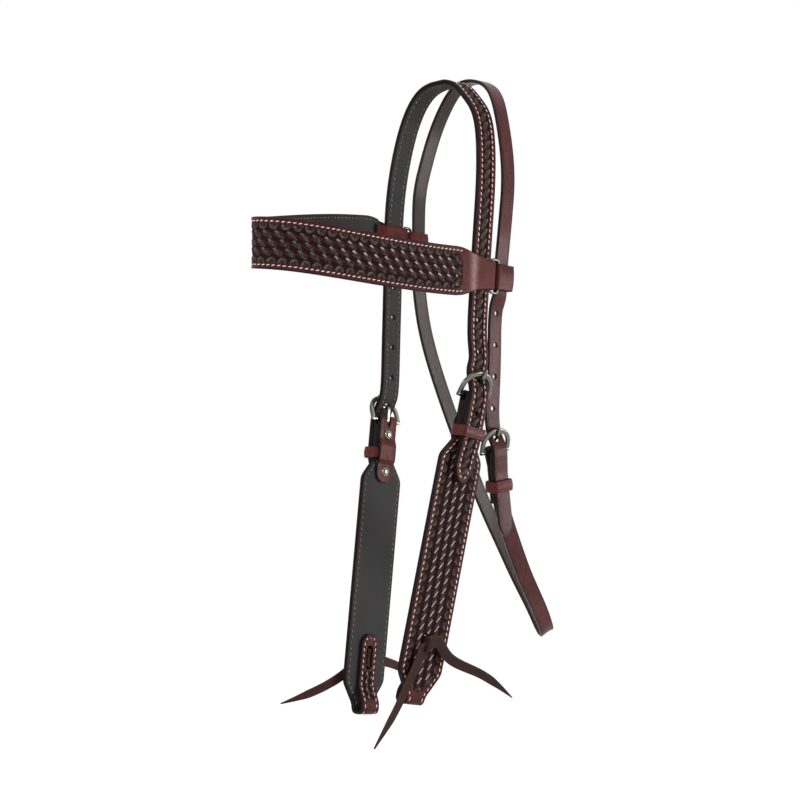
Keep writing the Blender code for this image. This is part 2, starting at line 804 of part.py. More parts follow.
def build_cheek(prefix, seat_empty):
    corners, radii = cheek_outer_line()
    route = local_route(corners, radii)
    pairs = panel_pairs(NECK_TOP, -CHEEK_LENGTH)
    end = route.length
    reach = BIT_TAB_WIDTH / 2
    tip = tip_pairs(end, reach, BIT_TAB_WIDTH / 2, -1, ROUND_END_SHARES)
    width = width_table(pairs + tip[::-1])
    extra = [p for p, _ in pairs[1:-1]] + [p for p, _ in tip[1:]]
    rings = route.rings(0.0, end, extra=extra)
    outer = strip(
        prefix + "_cheek_outer", route, rings, width, 0.0, TOOLED_THICKNESS, TOOLED, seat_empty
    )
    lining_end = -CHEEK_LENGTH + TOOLED_THICKNESS + BIT_LOOP_RADIUS
    lining_route = local_route([(LINING_BASE, NECK_TOP), (LINING_BASE, lining_end)], [0, 0])
    lining_pairs = [pair for pair in pairs if pair[0] < lining_route.length]
    lining_rings = lining_route.rings(0.0, lining_route.length, extra=[p for p, _ in lining_pairs])
    lining = strip(
        prefix + "_cheek_lining",
        lining_route,
        lining_rings,
        width,
        0.0,
        LINING_THICKNESS,
        LINING,
        seat_empty,
        0,
    )
    shafts = []
    for drop in (UPPER_RIVET_DROP, LOWER_RIVET_DROP):
        reach = PANEL_DEPTH + 2 * CUT_OVERRUN + 2 * CHAPE_THICKNESS
        shafts.append((Vector((0, 0, -drop)), BACK, RIVET_SHAFT + CLEARANCE, reach))
    rivet_holes = hole_cutter(prefix + "_rivet_punch", shafts, seat_empty)
    slot_middle = -CHEEK_LENGTH + LACE_SLOT_RISE
    slot = slot_cutter(
        prefix + "_lace_slot_punch",
        slot_middle - LACE_SLOT_LENGTH / 2,
        slot_middle + LACE_SLOT_LENGTH / 2,
        LACE_SLOT_WIDTH,
        TOOLED_BASE - TOOLED_THICKNESS * 3,
        TOOLED_BASE + TOOLED_THICKNESS + CUT_OVERRUN,
        seat_empty,
    )
    for piece in (outer, lining):
        cut_away(piece, rivet_holes)
        cut_away(piece, slot)
    return rivet_holes


def chape_corners():
    """The chape's inner face round the buckle bar, (outward, up), from the foot of its inner leg."""
    keeper_low = -CHEEK_KEEPER_DROP - KEEPER_HEIGHT / 2 - CLEARANCE
    keeper_high = -CHEEK_KEEPER_DROP + KEEPER_HEIGHT / 2 + KEEPER_PLAY + CLEARANCE
    low_head = -LOWER_RIVET_DROP + RIVET_DOME
    high_head = -UPPER_RIVET_DROP - RIVET_DOME
    return [
        (-LEG, -CHAPE_INNER_LEG),
        (-LEG, (low_head + keeper_low) / 2 - CLEARANCE * 2),
        (-LEG_OVER_KEEPER, keeper_low),
        (-LEG_OVER_KEEPER, keeper_high),
        (-LEG, high_head),
        (-LEG, LEG),
        (LEG, LEG),
        (LEG, -CHAPE_OUTER_LEG),
    ]


def build_chape(prefix, seat_empty, rivet_holes):
    bend = CHAPE_THICKNESS
    route = local_route(chape_corners(), [0, bend, bend, bend, bend, LEG, LEG, 0])
    half = CROWN_WIDTH / 2
    tip = tip_pairs(0.0, half, half, 1, ROUND_END_SHARES)
    width = width_table(tip + [(route.length, half)])
    rings = route.rings(0.0, route.length, extra=[p for p, _ in tip[1:]])
    chape = strip(
        prefix + "_chape", route, rings, width, 0.0, CHAPE_THICKNESS, SMOOTH, seat_empty
    )
    slot_width = TONGUE_WIDTH + 3 * CLEARANCE
    slot = slot_cutter(
        prefix + "_tongue_slot_punch",
        -BAR_RADIUS - TONGUE_THICKNESS * 3,
        LEG + CHAPE_THICKNESS + CUT_OVERRUN + slot_width,
        slot_width,
        -LEG_OVER_KEEPER - CHAPE_THICKNESS - CUT_OVERRUN,
        LEG + CHAPE_THICKNESS + CUT_OVERRUN,
        seat_empty,
    )
    cut_away(chape, rivet_holes)
    cut_away(chape, slot)


def rivet_profile(dome_base, burr_base):
    """A rivet along Z: dome below, shaft, flat burr on top. Radius and height, top to bottom."""
    points = [
        (0.0, burr_base + RIVET_BURR_HEIGHT),
        (RIVET_BURR - RIVET_BURR_HEIGHT / 2, burr_base + RIVET_BURR_HEIGHT),
        (RIVET_BURR, burr_base + RIVET_BURR_HEIGHT / 2),
        (RIVET_BURR, burr_base),
        (RIVET_SHAFT, burr_base),
        (RIVET_SHAFT, dome_base),
        (RIVET_DOME, dome_base),
    ]
    for k in range(1, 4):
        angle = math.radians(90) * k / 4
        spread = RIVET_DOME * math.cos(angle)
        points.append((spread, dome_base - RIVET_DOME_HEIGHT * math.sin(angle)))
    points.append((0.0, dome_base - RIVET_DOME_HEIGHT))
    return points


def build_rivets(prefix, seat_empty):
    dome_base = -LEG - CHAPE_THICKNESS - CLEARANCE
    outward = UP.rotation_difference(BACK).to_matrix().to_4x4()
    upper = Matrix.Translation((0, 0, -UPPER_RIVET_DROP)) @ outward
    lower = Matrix.Translation((0, 0, -LOWER_RIVET_DROP)) @ outward
    turned(
        prefix + "_upper_rivet", rivet_profile(dome_base, BURR_BASE), RIVET_METAL, seat_empty, upper
    )
    turned(prefix + "_lower_rivet", rivet_profile(dome_base, LEG), RIVET_METAL, seat_empty, lower)


def cheek_keeper_outline():
    half = NECK_WIDTH / 2 + CLEARANCE
    return box_outline((-half, -LEG), (half, KEEPER_TOP), KEEPER_CORNER)


def build_cheek_keeper(prefix, seat_empty):
    leather_ring(
        prefix + "_cheek_keeper",
        cheek_keeper_outline(),
        KEEPER_HEIGHT,
        KEEPER_THICKNESS,
        SMOOTH,
        seat_empty,
        -CHEEK_KEEPER_DROP,
    )


# Buckles


def build_buckle(name, seat_empty, strap_width, room, height, lift, bar_radius):
    """A horseshoe frame with its heel bar, leaning outward over the billet."""
    reach = strap_width / 2 + room + BUCKLE_BAND / 2
    lean = math.atan2(lift, height - BUCKLE_BAND / 2)
    rise = (height - BUCKLE_BAND / 2) / math.cos(lean)
    line = [(-reach, -BUCKLE_HEEL), (-reach, BUCKLE_ARM / 2)]
    arm = min(BUCKLE_ARM, rise / 3)
    for k in range(ARCH_STEPS + 1):
        angle = math.radians(180) * (1 - k / ARCH_STEPS)
        line.append((reach * math.cos(angle), arm + (rise - arm) * math.sin(angle)))
    line += [(reach, BUCKLE_ARM / 2), (reach, -BUCKLE_HEEL)]
    tilt = Vector((0, math.sin(lean), math.cos(lean)))
    points = [Vector((x, 0, 0)) + tilt * q for x, q in line]
    across = []
    for x, q in line:
        spread = Vector((x, 0, 0)) if q < arm else Vector((x, 0, 0)) + tilt * (q - arm)
        across.append(spread.normalized())
    route = Route(points, across)
    rings = route.rings(0.0, route.length)
    depth = BUCKLE_DEPTH
    frame = strip(
        name,
        route,
        rings,
        lambda place: BUCKLE_BAND / 2,
        -depth / 2,
        depth,
        BUCKLE_METAL,
        seat_empty,
        BUCKLE_ROUND,
    )
    half = reach + BUCKLE_BAND / 2 - BUCKLE_ROUND
    bar = rod_between(
        name + "_bar", (-half, 0, 0), (half, 0, 0), bar_radius, 16, CUTTERS, seat_empty
    )
    cut_away(frame, hide_cutter(bar), "UNION")


def tongue_line(bar_radius, billet, billet_thickness, hole_rise, height, lift):
    """The tongue's side next to the bar and arch, (outward, up): coil, way through, arch."""
    coil = bar_radius + CLEARANCE
    thick = TONGUE_THICKNESS
    lean = math.atan2(lift, height - BUCKLE_BAND / 2)
    along_arch = np.array((math.sin(lean), math.cos(lean)))
    off_arch = np.array((math.cos(lean), -math.sin(lean)))
    arch = np.array((lift, height - BUCKLE_BAND / 2))
    over = arch + off_arch * (BUCKLE_DEPTH / 2 + CLEARANCE + thick)
    over_start = over - along_arch * BUCKLE_BAND * 0.8
    over_end = over + along_arch * (BUCKLE_BAND / 2 + TONGUE_OVERHANG)
    low = np.array((outward_at(billet, hole_rise - thick), hole_rise - thick))
    high = np.array((outward_at(billet, hole_rise + thick), hole_rise + thick))
    slope = (high - low) / np.linalg.norm(high - low)
    middle = (low + high) / 2 + np.array((slope[1], -slope[0])) * billet_thickness / 2
    way = (over_start - middle) / np.linalg.norm(over_start - middle)
    under = middle + np.array((way[1], -way[0])) * thick / 2
    way = (over_start - under) / np.linalg.norm(over_start - under)
    corner = under + way * (-coil - under[0]) / way[0]
    bend = thick + CLEARANCE * 2
    corners = [(coil * 0.7, -coil), (-coil, -coil), corner, over_start, over_end]
    return corners, [0, coil, bend, bend, 0]


def outward_at(line, rise):
    return float(np.interp(rise, [up for _, up in line], [out for out, _ in line]))


def build_tongue(name, seat_empty, corners, radii):
    """A tongue: a flat wire hooked round the bar, up through the billet and on to the arch."""
    route = local_route(corners, radii)
    half = TONGUE_WIDTH / 2
    taper = route.length - TONGUE_WIDTH * 2
    width = width_table([(0.0, half), (taper, half), (route.length, half * 0.55)])
    rings = route.rings(0.0, route.length, extra=[taper])
    strip(
        name,
        route,
        rings,
        width,
        0.0,
        TONGUE_THICKNESS,
        BUCKLE_METAL,
        seat_empty,
        0,
    )


def build_cheek_tongue(prefix, seat_empty):
    corners, radii = tongue_line(
        BAR_RADIUS, NEAR_BILLET, PANEL_DEPTH, TONGUE_HOLE_RISE, BUCKLE_HEIGHT, ARCH_LIFT
    )
    build_tongue(prefix + "_cheek_tongue", seat_empty, corners, radii)


# Laces


def lace_loop():
    """The lace's outer side through the slot, (forward, outward): over, in, back out and under."""
    under = LEG + LACE_THICKNESS
    over = under + LACE_HUMP
    inside = LINING_BASE - CLEARANCE - TOOLED_THICKNESS + LACE_THICKNESS / 4
    side = LACE_BEND + CLEARANCE
    return rounded_line(
        [
            (-LACE_SLOT_WIDTH, over),
            (side, over),
            (side, inside),
            (-side, inside),
            (-side, under),
            (side, under),
        ],
        [0, LACE_BEND * 0.9, LACE_BEND, LACE_BEND, LACE_BEND * 0.9, 0],
    )


def lace_line(forward, rear_tail, front_tail):
    """The route and half widths of a flat lace, and where its knot starts and ends.

    Its rear tail crosses the slot, turns back inside it and leaves in front.
    """
    middle = Vector((0, 0, -CHEEK_LENGTH + LACE_SLOT_RISE))

    def station(shares):
        ahead, out, drop = (share * LACE_TAIL for share in shares)
        return middle + Vector((forward * ahead, out, -drop))

    loop = lace_loop()
    steps = np.linalg.norm(np.diff(loop, axis=0), axis=1)
    places = np.concatenate([[0.0], np.cumsum(steps)]) / steps.sum()
    heights = LACE_RISE * (1 - places * 1.75)
    turns = [
        middle + Vector((forward * ahead, out, height))
        for (ahead, out), height in zip(loop, heights)
    ]
    upright = Vector((0, 0, forward))
    lean, rise = LACE_LEAN_SHARES
    leaning = Vector((forward * lean, 0, rise)) * forward
    rear = [station(shares) for shares in rear_tail[::-1]] + [turns[0], turns[1]]
    rear_points, rear_hints = smooth_points(rear, [upright] * len(rear))
    front = [turns[-2], turns[-1]] + [station(shares) for shares in front_tail]
    front_points, front_hints = smooth_points(front, [upright] + [leaning] * (len(front) - 1))
    points = list(rear_points) + turns[2:-2] + list(front_points)
    across = list(rear_hints) + [upright] * len(turns[2:-2]) + list(front_hints)
    route = Route(points, across)
    knot_start = route.nearest(turns[0])
    knot_end = route.nearest(turns[-1])
    tip = LACE_WIDTH / 2 * 0.12
    half = LACE_WIDTH / 2
    knot = LACE_KNOT_WIDTH / 2
    end = route.length
    width = width_table(
        [
            (0.0, tip),
            (LACE_TIP, half),
            (knot_start, knot),
            (knot_start + LACE_BEND * 2, half),
            (knot_end - LACE_BEND * 2, half),
            (knot_end + LACE_WIDTH, knot),
            (end - LACE_TIP, half),
            (end, tip),
        ]
    )
    return route, width, knot_start, knot_end


def build_lace(prefix, forward, seat_empty, rear_tail, front_tail):
    route, width, knot_start, knot_end = lace_line(forward, rear_tail, front_tail)
    step = LACE_WIDTH * 3 / 2
    rings = route.rings(0.0, knot_start, step)[:-1]
    rings += route.rings(knot_start, knot_end)
    rings += route.rings(knot_end, route.length, step)[1:]
    strip(prefix + "_lace", route, rings, width, 0.0, LACE_THICKNESS, LACE, seat_empty, edge=0)


# Browband


def plan_frame(route, side, drop):
    """The frame where the browband tab crosses the crown strap: Y outward, Z up the strap."""
    lead = -BAR_LEAD * drop / NEAR_BAR_DROP
    place = route.nearest((side * HEAD_HALF_WIDTH, lead, -drop))
    point, along, _, outward = route.at(place)
    up = along * side
    return frame_matrix(point + outward * PANEL_DEPTH / 2, outward.cross(up), outward, up)


def browband_route(near, far):
    """The tooled layer's inner face: near tail, ring, round the brow, far ring, far tail."""
    over = PANEL_DEPTH / 2 + CLEARANCE
    under_lining = LINING_THICKNESS + 2 * CLEARANCE
    ring = CROWN_WIDTH / 2 + CLEARANCE + WIRE_RADIUS
    front = -CROWN_WIDTH / 2 - CLEARANCE
    tail = rounded_line(
        [
            (-BROWBAND_TAIL, over - under_lining),
            (front - over * 3, over - under_lining),
            (front, -over),
            (ring + over, -over),
            (ring + over, over),
            (front, over),
        ],
        [0, over, over, over, over, 0],
    )
    near_points = [near @ Vector((-back, out, 0)) for back, out in tail]
    far_points = [far @ Vector((back, out, 0)) for back, out in tail][::-1]
    hub = (near_points[-1] + far_points[0]) / 2
    span = (near_points[-1] - far_points[0]) / 2
    reach = Vector((0, -BROWBAND_REACH, 0))
    count = 14
    arc = []
    for k in range(1, count):
        angle = math.pi * k / count
        across_share = math.cos(angle)
        steep_share = across_share**3 - across_share
        spot = hub + span * across_share + reach * math.sin(angle)
        spot.z += span.z * steep_share * (1 - SLOPE_EVEN_SHARE)
        spot.z -= BROWBAND_SAG * math.sin(angle)
        arc.append(spot)
    stations = [near_points[-1]] + arc + [far_points[0]]
    near_down = near.to_3x3() @ -UP
    far_down = far.to_3x3() @ -UP
    hints = [near_down] + [-UP] * len(arc) + [far_down]
    line, line_hints = smooth_points(stations, hints)
    points = near_points[:-1] + list(line) + far_points[1:]
    across = [near_down] * (len(near_points) - 1) + list(line_hints)
    across += [far_down] * (len(far_points) - 1)
    near_end = sum((b - a).length for a, b in zip(near_points, near_points[1:]))
    return Route(points, across), near_end


def browband_width(route, wrap):
    """Half widths by arc length: tail, fold, over the crown strap, and out to the full band."""
    tab = BROWBAND_TAB_WIDTH / 2
    neck = BROWBAND_NECK_WIDTH / 2
    full = BROWBAND_WIDTH / 2
    taper = BROWBAND_TAPER
    pairs = [
        (0.0, tab),
        (wrap - CROWN_WIDTH, tab),
        (wrap, neck),
        (wrap + taper * 0.45, neck + (full - neck) * 0.62),
        (wrap + taper * 0.80, neck + (full - neck) * 0.94),
        (wrap + taper, full),
    ]
    mirrored = [(route.length - place, half) for place, half in pairs[::-1]]
    return pairs + mirrored


def build_browband(crown):
    near = plan_frame(crown, 1, NEAR_BROWBAND_DROP)
    far = plan_frame(crown, -1, FAR_BROWBAND_DROP)
    route, wrap = browband_route(near, far)
    pairs = browband_width(route, wrap)
    width = width_table(pairs)
    near_rings = route.rings(0.0, wrap)
    far_rings = route.rings(route.length - wrap, route.length)
    setback = wrap + LINING_SETBACK
    shared = [place for place, _ in pairs[3:-3]] + [setback, route.length - setback]
    middle = route.rings(wrap, route.length - wrap, RING_STEP, extra=shared)
    rings = near_rings[:-1] + middle + far_rings[1:]
    strip("browband_outer", route, rings, width, 0.0, BROWBAND_THICKNESS, TOOLED)
    lining_rings = [place for place in rings if setback <= place <= route.length - setback]
    strip(
        "browband_lining",
        route,
        lining_rings,
        width,
        -CLEARANCE,
        LINING_THICKNESS,
        LINING,
        edge=0,
        side=-1,
    )
    return near, far


def ring_bars():
    """How far behind the crown strap's middle the wire rectangle's front and rear bars lie."""
    front_bar = CROWN_WIDTH / 2 + WIRE_RADIUS + PANEL_DEPTH / 2 - WIRE_RADIUS
    return front_bar, front_bar + BROWBAND_RING_REACH


def throat_loop_ends():
    """How far back the leather loop's opening starts and ends."""
    start = ring_bars()[1] - WIRE_RADIUS - CLEARANCE
    return start, start + THROAT_WIDTH + 6 * CLEARANCE


def throat_loop_outline(rear):
    """The inside of the leather loop on the ring's rear bar, (rearward, outward)."""
    start, end = throat_loop_ends()
    inner = -WIRE_RADIUS - THROAT_THICKNESS - 4 * CLEARANCE
    outer = WIRE_RADIUS + CLEARANCE
    low = (min(rear * start, rear * end), inner)
    high = (max(rear * start, rear * end), outer)
    return box_outline(low, high, WIRE_RADIUS)


def throat_loop_place(rear, matrix):
    """The frame where the throatlatch's inner face passes through the leather loop."""
    start, end = throat_loop_ends()
    strap_out = -WIRE_RADIUS - THROAT_THICKNESS - 2 * CLEARANCE
    return matrix @ Matrix.Translation((rear * (start + end) / 2, strap_out, 0))


def build_ring_and_loop(prefix, rear, matrix):
    """The wire rectangle in the tab's fold and the leather loop on its rear bar."""
    frame = frame_at(prefix + "_browband_frame", matrix)
    half = BROWBAND_TAB_WIDTH / 2 + WIRE_ROOM + WIRE_RADIUS
    front_bar, rear_bar = ring_bars()
    outline = box_outline((front_bar, -half), (rear_bar, half), WIRE_CORNER)
    points = [(rear * x, 0, z) for x, z in outline][::int(rear)]
    wire_loop(prefix + "_browband_ring", points, WIRE_RADIUS, RING_METAL, frame)
    outline = throat_loop_outline(rear)
    leather_ring(
        prefix + "_throat_loop", outline, THROAT_LOOP_HEIGHT, LOOP_THICKNESS, SMOOTH, frame
    )
    return throat_loop_place(rear, matrix)


# Throatlatch


def throat_seat():
    """The frame at the throatlatch buckle's bar: X forward, Y outward, Z up the strap."""
    up = Vector((0, -THROAT_LEAN_SHARE, 1)).normalized()
    outward = Vector((1, -THROAT_TURN_SHARE, 0))
    outward = (outward - up * outward.dot(up)).normalized()
    origin = Vector((THROAT_BAR_REACH, THROAT_BAR_SET, -THROAT_BAR_DROP))
    return frame_matrix(origin, outward.cross(up), outward, up)


THROAT_SEAT = throat_seat()
THROAT_LEG = THROAT_BAR_RADIUS + 2 * CLEARANCE
THROAT_CLOSED = CLEARANCE
THROAT_BILLET_BASE = THROAT_LEG + THROAT_THICKNESS + CLEARANCE
THROAT_LOW_BASE = THROAT_CLOSED + THROAT_THICKNESS + CLEARANCE
THROAT_UNDER_ARCH = THROAT_ARCH_LIFT - BUCKLE_DEPTH - THROAT_THICKNESS - 2 * CLEARANCE


def turn_back_line():
    """The strap's lower end round the bar, (outward, up), from the sewn end of the turn-back."""
    return rounded_line(
        [
            (-THROAT_CLOSED, -THROAT_TURN_BACK),
            (-THROAT_CLOSED, -THROAT_FOLD),
            (-THROAT_LEG, -THROAT_LEG),
            (-THROAT_LEG, THROAT_LEG),
            (THROAT_LEG, THROAT_LEG),
            (THROAT_LEG, -THROAT_LEG),
            (THROAT_CLOSED, -THROAT_FOLD),
            (THROAT_CLOSED, -THROAT_TURN_BACK + THROAT_FOLD),
            (THROAT_CLOSED, -THROAT_TURN_BACK),
        ],
        [0, THROAT_FOLD, THROAT_LEG, THROAT_LEG, THROAT_LEG, THROAT_LEG, THROAT_FOLD, 0, 0],
    )


def throat_billet_line():
    """The upper end's inner face, (outward, up), from above the arch down to the tip."""
    height = THROAT_BUCKLE_HEIGHT
    return rounded_line(
        [
            (THROAT_UNDER_ARCH, height * 1.5),
            (THROAT_UNDER_ARCH, height - BUCKLE_BAND * 5 / 4),
            (THROAT_BILLET_BASE, THROAT_HOLE_RISE / 4),
            (THROAT_BILLET_BASE, -THROAT_LEG),
            (THROAT_LOW_BASE, -THROAT_FOLD * 1.6),
            (THROAT_LOW_BASE, -THROAT_BILLET),
        ],
        [0, height / 2, height / 2, height / 2, height, 0],
    )


def throat_route(near_loop, far_loop):
    seat = THROAT_SEAT
    low = [seat @ Vector((0, y, z)) for y, z in turn_back_line()]
    high = [seat @ Vector((0, y, z)) for y, z in throat_billet_line()]

    def station(shares, top=0.0, bottom=THROAT_DROP):
        x, y, z = shares
        drop = top + z * (bottom - top)
        return Vector((x * HEAD_HALF_WIDTH, y * THROAT_DEPTH, -drop))

    lower = [low[-2], (low[-2] + low[-1]) / 2, low[-1]]
    lower += [station(s, top=THROAT_BAR_DROP) for s in THROAT_NEAR_LOW_SHARES]
    lower += [station(s) for s in THROAT_BOTTOM_SHARES]
    far = [station(s) for s in THROAT_FAR_SHARES]
    near = [station(s, bottom=THROAT_BAR_DROP) for s in THROAT_NEAR_HIGH_SHARES]
    hints = [Vector(THROAT_LOW_ACROSS_SHARES)] * len(THROAT_NEAR_LOW_SHARES)
    hints += [Vector(THROAT_BOTTOM_ACROSS_SHARES)] * len(THROAT_BOTTOM_SHARES)
    for point in far + near:
        lean = max(0.0, -point.z - HEAD_HALF_WIDTH * 3) / THROAT_DROP
        hints.append(Vector((0, 1, lean if point.x < 0 else 0.0)))
    stations = lower[3:] + far + near
    stations, hints = pass_through(stations, hints, far_loop, 1)
    stations, hints = pass_through(stations, hints, near_loop, -1)
    seat_across = seat.to_3x3() @ Vector((-1, 0, 0))
    stations = lower[:3] + stations + [high[0], high[1]]
    hints = [seat_across] * 3 + hints + [seat_across] * 2
    line, line_hints = smooth_points(stations, hints)
    points = low[:-2] + list(line) + high[2:]
    across = [seat_across] * (len(low) - 2) + list(line_hints) + [seat_across] * (len(high) - 2)
    return Route(points, across)


def pass_through(stations, hints, loop, climb):
    """Leads the strap straight through a loop: two stations on its axis replace those near it."""
    middle = loop.translation
    axis = loop.to_3x3() @ UP * climb
    across = (loop.to_3x3() @ Vector((1, 0, 0))) * (1 if loop.translation.x < 0 else -1)
    half = THROAT_LOOP_HEIGHT * 0.7
    far_off = [(p - middle).length > THROAT_LOOP_HEIGHT * 1.2 for p in stations]
    first = far_off.index(False) if False in far_off else None
    if first is None:
        first = min(range(len(stations)), key=lambda k: (stations[k] - middle).length)
    before = [k for k in range(first) if far_off[k]]
    after = [k for k in range(first, len(stations)) if far_off[k]]
    inside = [middle - axis * half, middle, middle + axis * half]
    new_stations = [stations[k] for k in before] + inside
    new_hints = [hints[k] for k in before] + [across] * len(inside)
    return new_stations + [stations[k] for k in after], new_hints + [hints[k] for k in after]


def build_throatlatch(near_loop, far_loop):
    route = throat_route(near_loop, far_loop)
    seat = THROAT_SEAT
    half = THROAT_WIDTH / 2
    end = route.length
    width = width_table([(0.0, half)] + tip_pairs(end, THROAT_TIP, half, -1, TIP_SHARES)[::-1])
    low_end = sum(
        (Vector(b) - Vector(a)).length for a, b in zip(turn_back_line(), turn_back_line()[1:])
    )
    high_line = throat_billet_line()
    high_length = sum((Vector(b) - Vector(a)).length for a, b in zip(high_line, high_line[1:]))
    tips = [end - THROAT_TIP * share for share, _ in TIP_SHARES[1:]]
    rings = route.rings(0.0, low_end)[:-1]
    rings += route.rings(low_end, end - high_length, THROAT_LOOP_HEIGHT * 0.52)
    rings += route.rings(end - high_length, end, extra=tips)[1:]
    out = outward_at(throat_billet_line()[::-1], THROAT_HOLE_RISE)
    start = route.nearest(seat @ Vector((0, out, THROAT_HOLE_RISE)))
    others = [start - k * THROAT_HOLE_PITCH for k in range(1, THROAT_HOLES + 1)]
    rings = clear_of(rings, [start] + others, HOLE_RADIUS + CLEARANCE)
    strap = strip("throatlatch", route, rings, width, 0.0, THROAT_THICKNESS, SMOOTH, edge=0)
    cut_away(strap, strap_punch("throat_hole_punch", route, [start], others, THROAT_THICKNESS))
    seat_empty = frame_at("throat_buckle_frame", seat)
    slot_width = TONGUE_WIDTH + 3 * CLEARANCE
    slot = slot_cutter(
        "throat_tongue_slot_punch",
        -THROAT_BAR_RADIUS - TONGUE_THICKNESS * 3,
        THROAT_LEG + THROAT_THICKNESS + CLEARANCE + slot_width / 2,
        slot_width,
        -THROAT_LEG - THROAT_THICKNESS - CUT_OVERRUN,
        THROAT_BILLET_BASE - CLEARANCE / 2,
        seat_empty,
    )
    cut_away(strap, slot)
    return seat_empty


def throat_keeper_outline():
    half = THROAT_WIDTH / 2 + CLEARANCE * 2
    inner = -THROAT_CLOSED - THROAT_THICKNESS - CLEARANCE
    outer = THROAT_LOW_BASE + THROAT_THICKNESS + CLEARANCE * 2
    return box_outline((-half, inner), (half, outer), KEEPER_CORNER)


def build_throat_fittings(seat_empty):
    build_buckle(
        "throat_buckle",
        seat_empty,
        THROAT_WIDTH,
        THROAT_BUCKLE_ROOM,
        THROAT_BUCKLE_HEIGHT,
        THROAT_ARCH_LIFT,
        THROAT_BAR_RADIUS,
    )
    corners, radii = tongue_line(
        THROAT_BAR_RADIUS,
        throat_billet_line()[::-1],
        THROAT_THICKNESS,
        THROAT_HOLE_RISE,
        THROAT_BUCKLE_HEIGHT,
        THROAT_ARCH_LIFT,
    )
    build_tongue("throat_tongue", seat_empty, corners, radii)
    leather_ring(
        "throat_keeper",
        throat_keeper_outline(),
        KEEPER_HEIGHT,
        KEEPER_THICKNESS,
        SMOOTH,
        seat_empty,
        -THROAT_KEEPER_DROP,
    )


def build():
    crown = build_crown()
    for prefix, seat in (("near", NEAR_SEAT), ("far", FAR_SEAT)):
        seat_empty = frame_at(prefix + "_cheek_frame", seat)
        rivet_holes = build_cheek(prefix, seat_empty)
        build_chape(prefix, seat_empty, rivet_holes)
        build_rivets(prefix, seat_empty)
        build_cheek_keeper(prefix, seat_empty)
        build_buckle(
            prefix + "_cheek_buckle",
            seat_empty,
            CROWN_WIDTH,
            BUCKLE_ROOM,
            BUCKLE_HEIGHT,
            ARCH_LIFT,
            BAR_RADIUS,
        )
        build_cheek_tongue(prefix, seat_empty)
        if prefix == "near":
            tails = NEAR_REAR_TAIL_SHARES, NEAR_FRONT_TAIL_SHARES
        else:
            tails = FAR_REAR_TAIL_SHARES, FAR_FRONT_TAIL_SHARES
        build_lace(prefix, 1 if prefix == "near" else -1, seat_empty, *tails)
    near, far = build_browband(crown)
    near_loop = build_ring_and_loop("near", -1, near)
    far_loop = build_ring_and_loop("far", 1, far)
    seat_empty = build_throatlatch(near_loop, far_loop)
    build_throat_fittings(seat_empty)


build()
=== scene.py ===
"""The looks of a western headstall: fine tooled leather, stitching, metal and light.

Metres, +Z up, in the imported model's own frame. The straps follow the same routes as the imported
solids, and each piece here stands for the solid that it covers.
"""
import json
import math

import bmesh
import bpy
import numpy as np
from mathutils import Matrix, Vector


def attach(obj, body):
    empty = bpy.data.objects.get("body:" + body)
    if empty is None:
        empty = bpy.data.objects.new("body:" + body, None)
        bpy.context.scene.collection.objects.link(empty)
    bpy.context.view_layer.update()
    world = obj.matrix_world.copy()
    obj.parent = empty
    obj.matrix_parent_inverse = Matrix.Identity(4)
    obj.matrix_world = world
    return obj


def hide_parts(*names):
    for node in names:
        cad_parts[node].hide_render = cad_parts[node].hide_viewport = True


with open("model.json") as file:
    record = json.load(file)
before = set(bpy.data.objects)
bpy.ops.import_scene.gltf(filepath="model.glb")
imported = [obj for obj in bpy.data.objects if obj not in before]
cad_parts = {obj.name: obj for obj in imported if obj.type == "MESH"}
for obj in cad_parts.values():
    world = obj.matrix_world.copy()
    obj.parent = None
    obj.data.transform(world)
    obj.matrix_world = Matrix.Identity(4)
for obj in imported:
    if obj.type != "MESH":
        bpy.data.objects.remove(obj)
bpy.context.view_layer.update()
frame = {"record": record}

RECORD = frame["record"]
BODY_OF = {node: body for body, nodes in RECORD["behaviour"]["bodies"].items() for node in nodes}

ARC_STEP = math.radians(6)
SPLINE_STEPS = 60
ARCH_STEPS = 60
BROW_STATIONS = 14
BROWBAND_TAPER = 0.0170

CLEARANCE = 0.0003
TOOLED_THICKNESS = 0.0024
LINING_THICKNESS = 0.0014
CHAPE_THICKNESS = 0.0018
KEEPER_THICKNESS = 0.0016
THROAT_THICKNESS = 0.0028
LACE_THICKNESS = 0.0016
CUT_OVERRUN = 0.003
CROWN_WIDTH = 0.01905
HEAD_HALF_WIDTH = 0.0530
POLL_FLAT = 0.014
BILLET_BELOW_BAR = 0.068
BILLET_TIP = 0.013
HOLE_PITCH = 0.0254
HOLE_RADIUS = 0.0022
TONGUE_HOLE_RADIUS = 0.0031
TONGUE_HOLE_RISE = 0.0118
CROWN_HOLES = 5
BAR_REACH = 0.0511
BAR_LEAD = 0.0250
NEAR_BAR_DROP = 0.2565
FAR_BAR_DROP = 0.2757
NEAR_LEAD_SHARE = 0.225
FAR_LEAD_SHARE = 0.155
CHEEK_TUCK_SHARE = 0.045
FAR_CHEEK_TURN = math.radians(4.0)
BAR_RADIUS = 0.0016
BUCKLE_ROOM = 0.0032
BUCKLE_BAND = 0.0040
BUCKLE_DEPTH = 0.0026
BUCKLE_HEEL = 0.0018
BUCKLE_HEIGHT = 0.0209
BUCKLE_ARM = 0.0060
BUCKLE_ROUND = 0.0008
TONGUE_WIDTH = 0.0030
TONGUE_THICKNESS = 0.0014
TONGUE_OVERHANG = 0.0022
ARCH_LIFT = 0.0075
CHEEK_WIDTH = 0.04445
CHEEK_LENGTH = 0.2415
NECK_WIDTH = 0.0198
NECK_LENGTH = 0.0315
SHOULDER_LENGTH = 0.0185
FOOT_LENGTH = 0.027
FOOT_STRAIGHT = 0.006
BIT_TAB_WIDTH = 0.0190
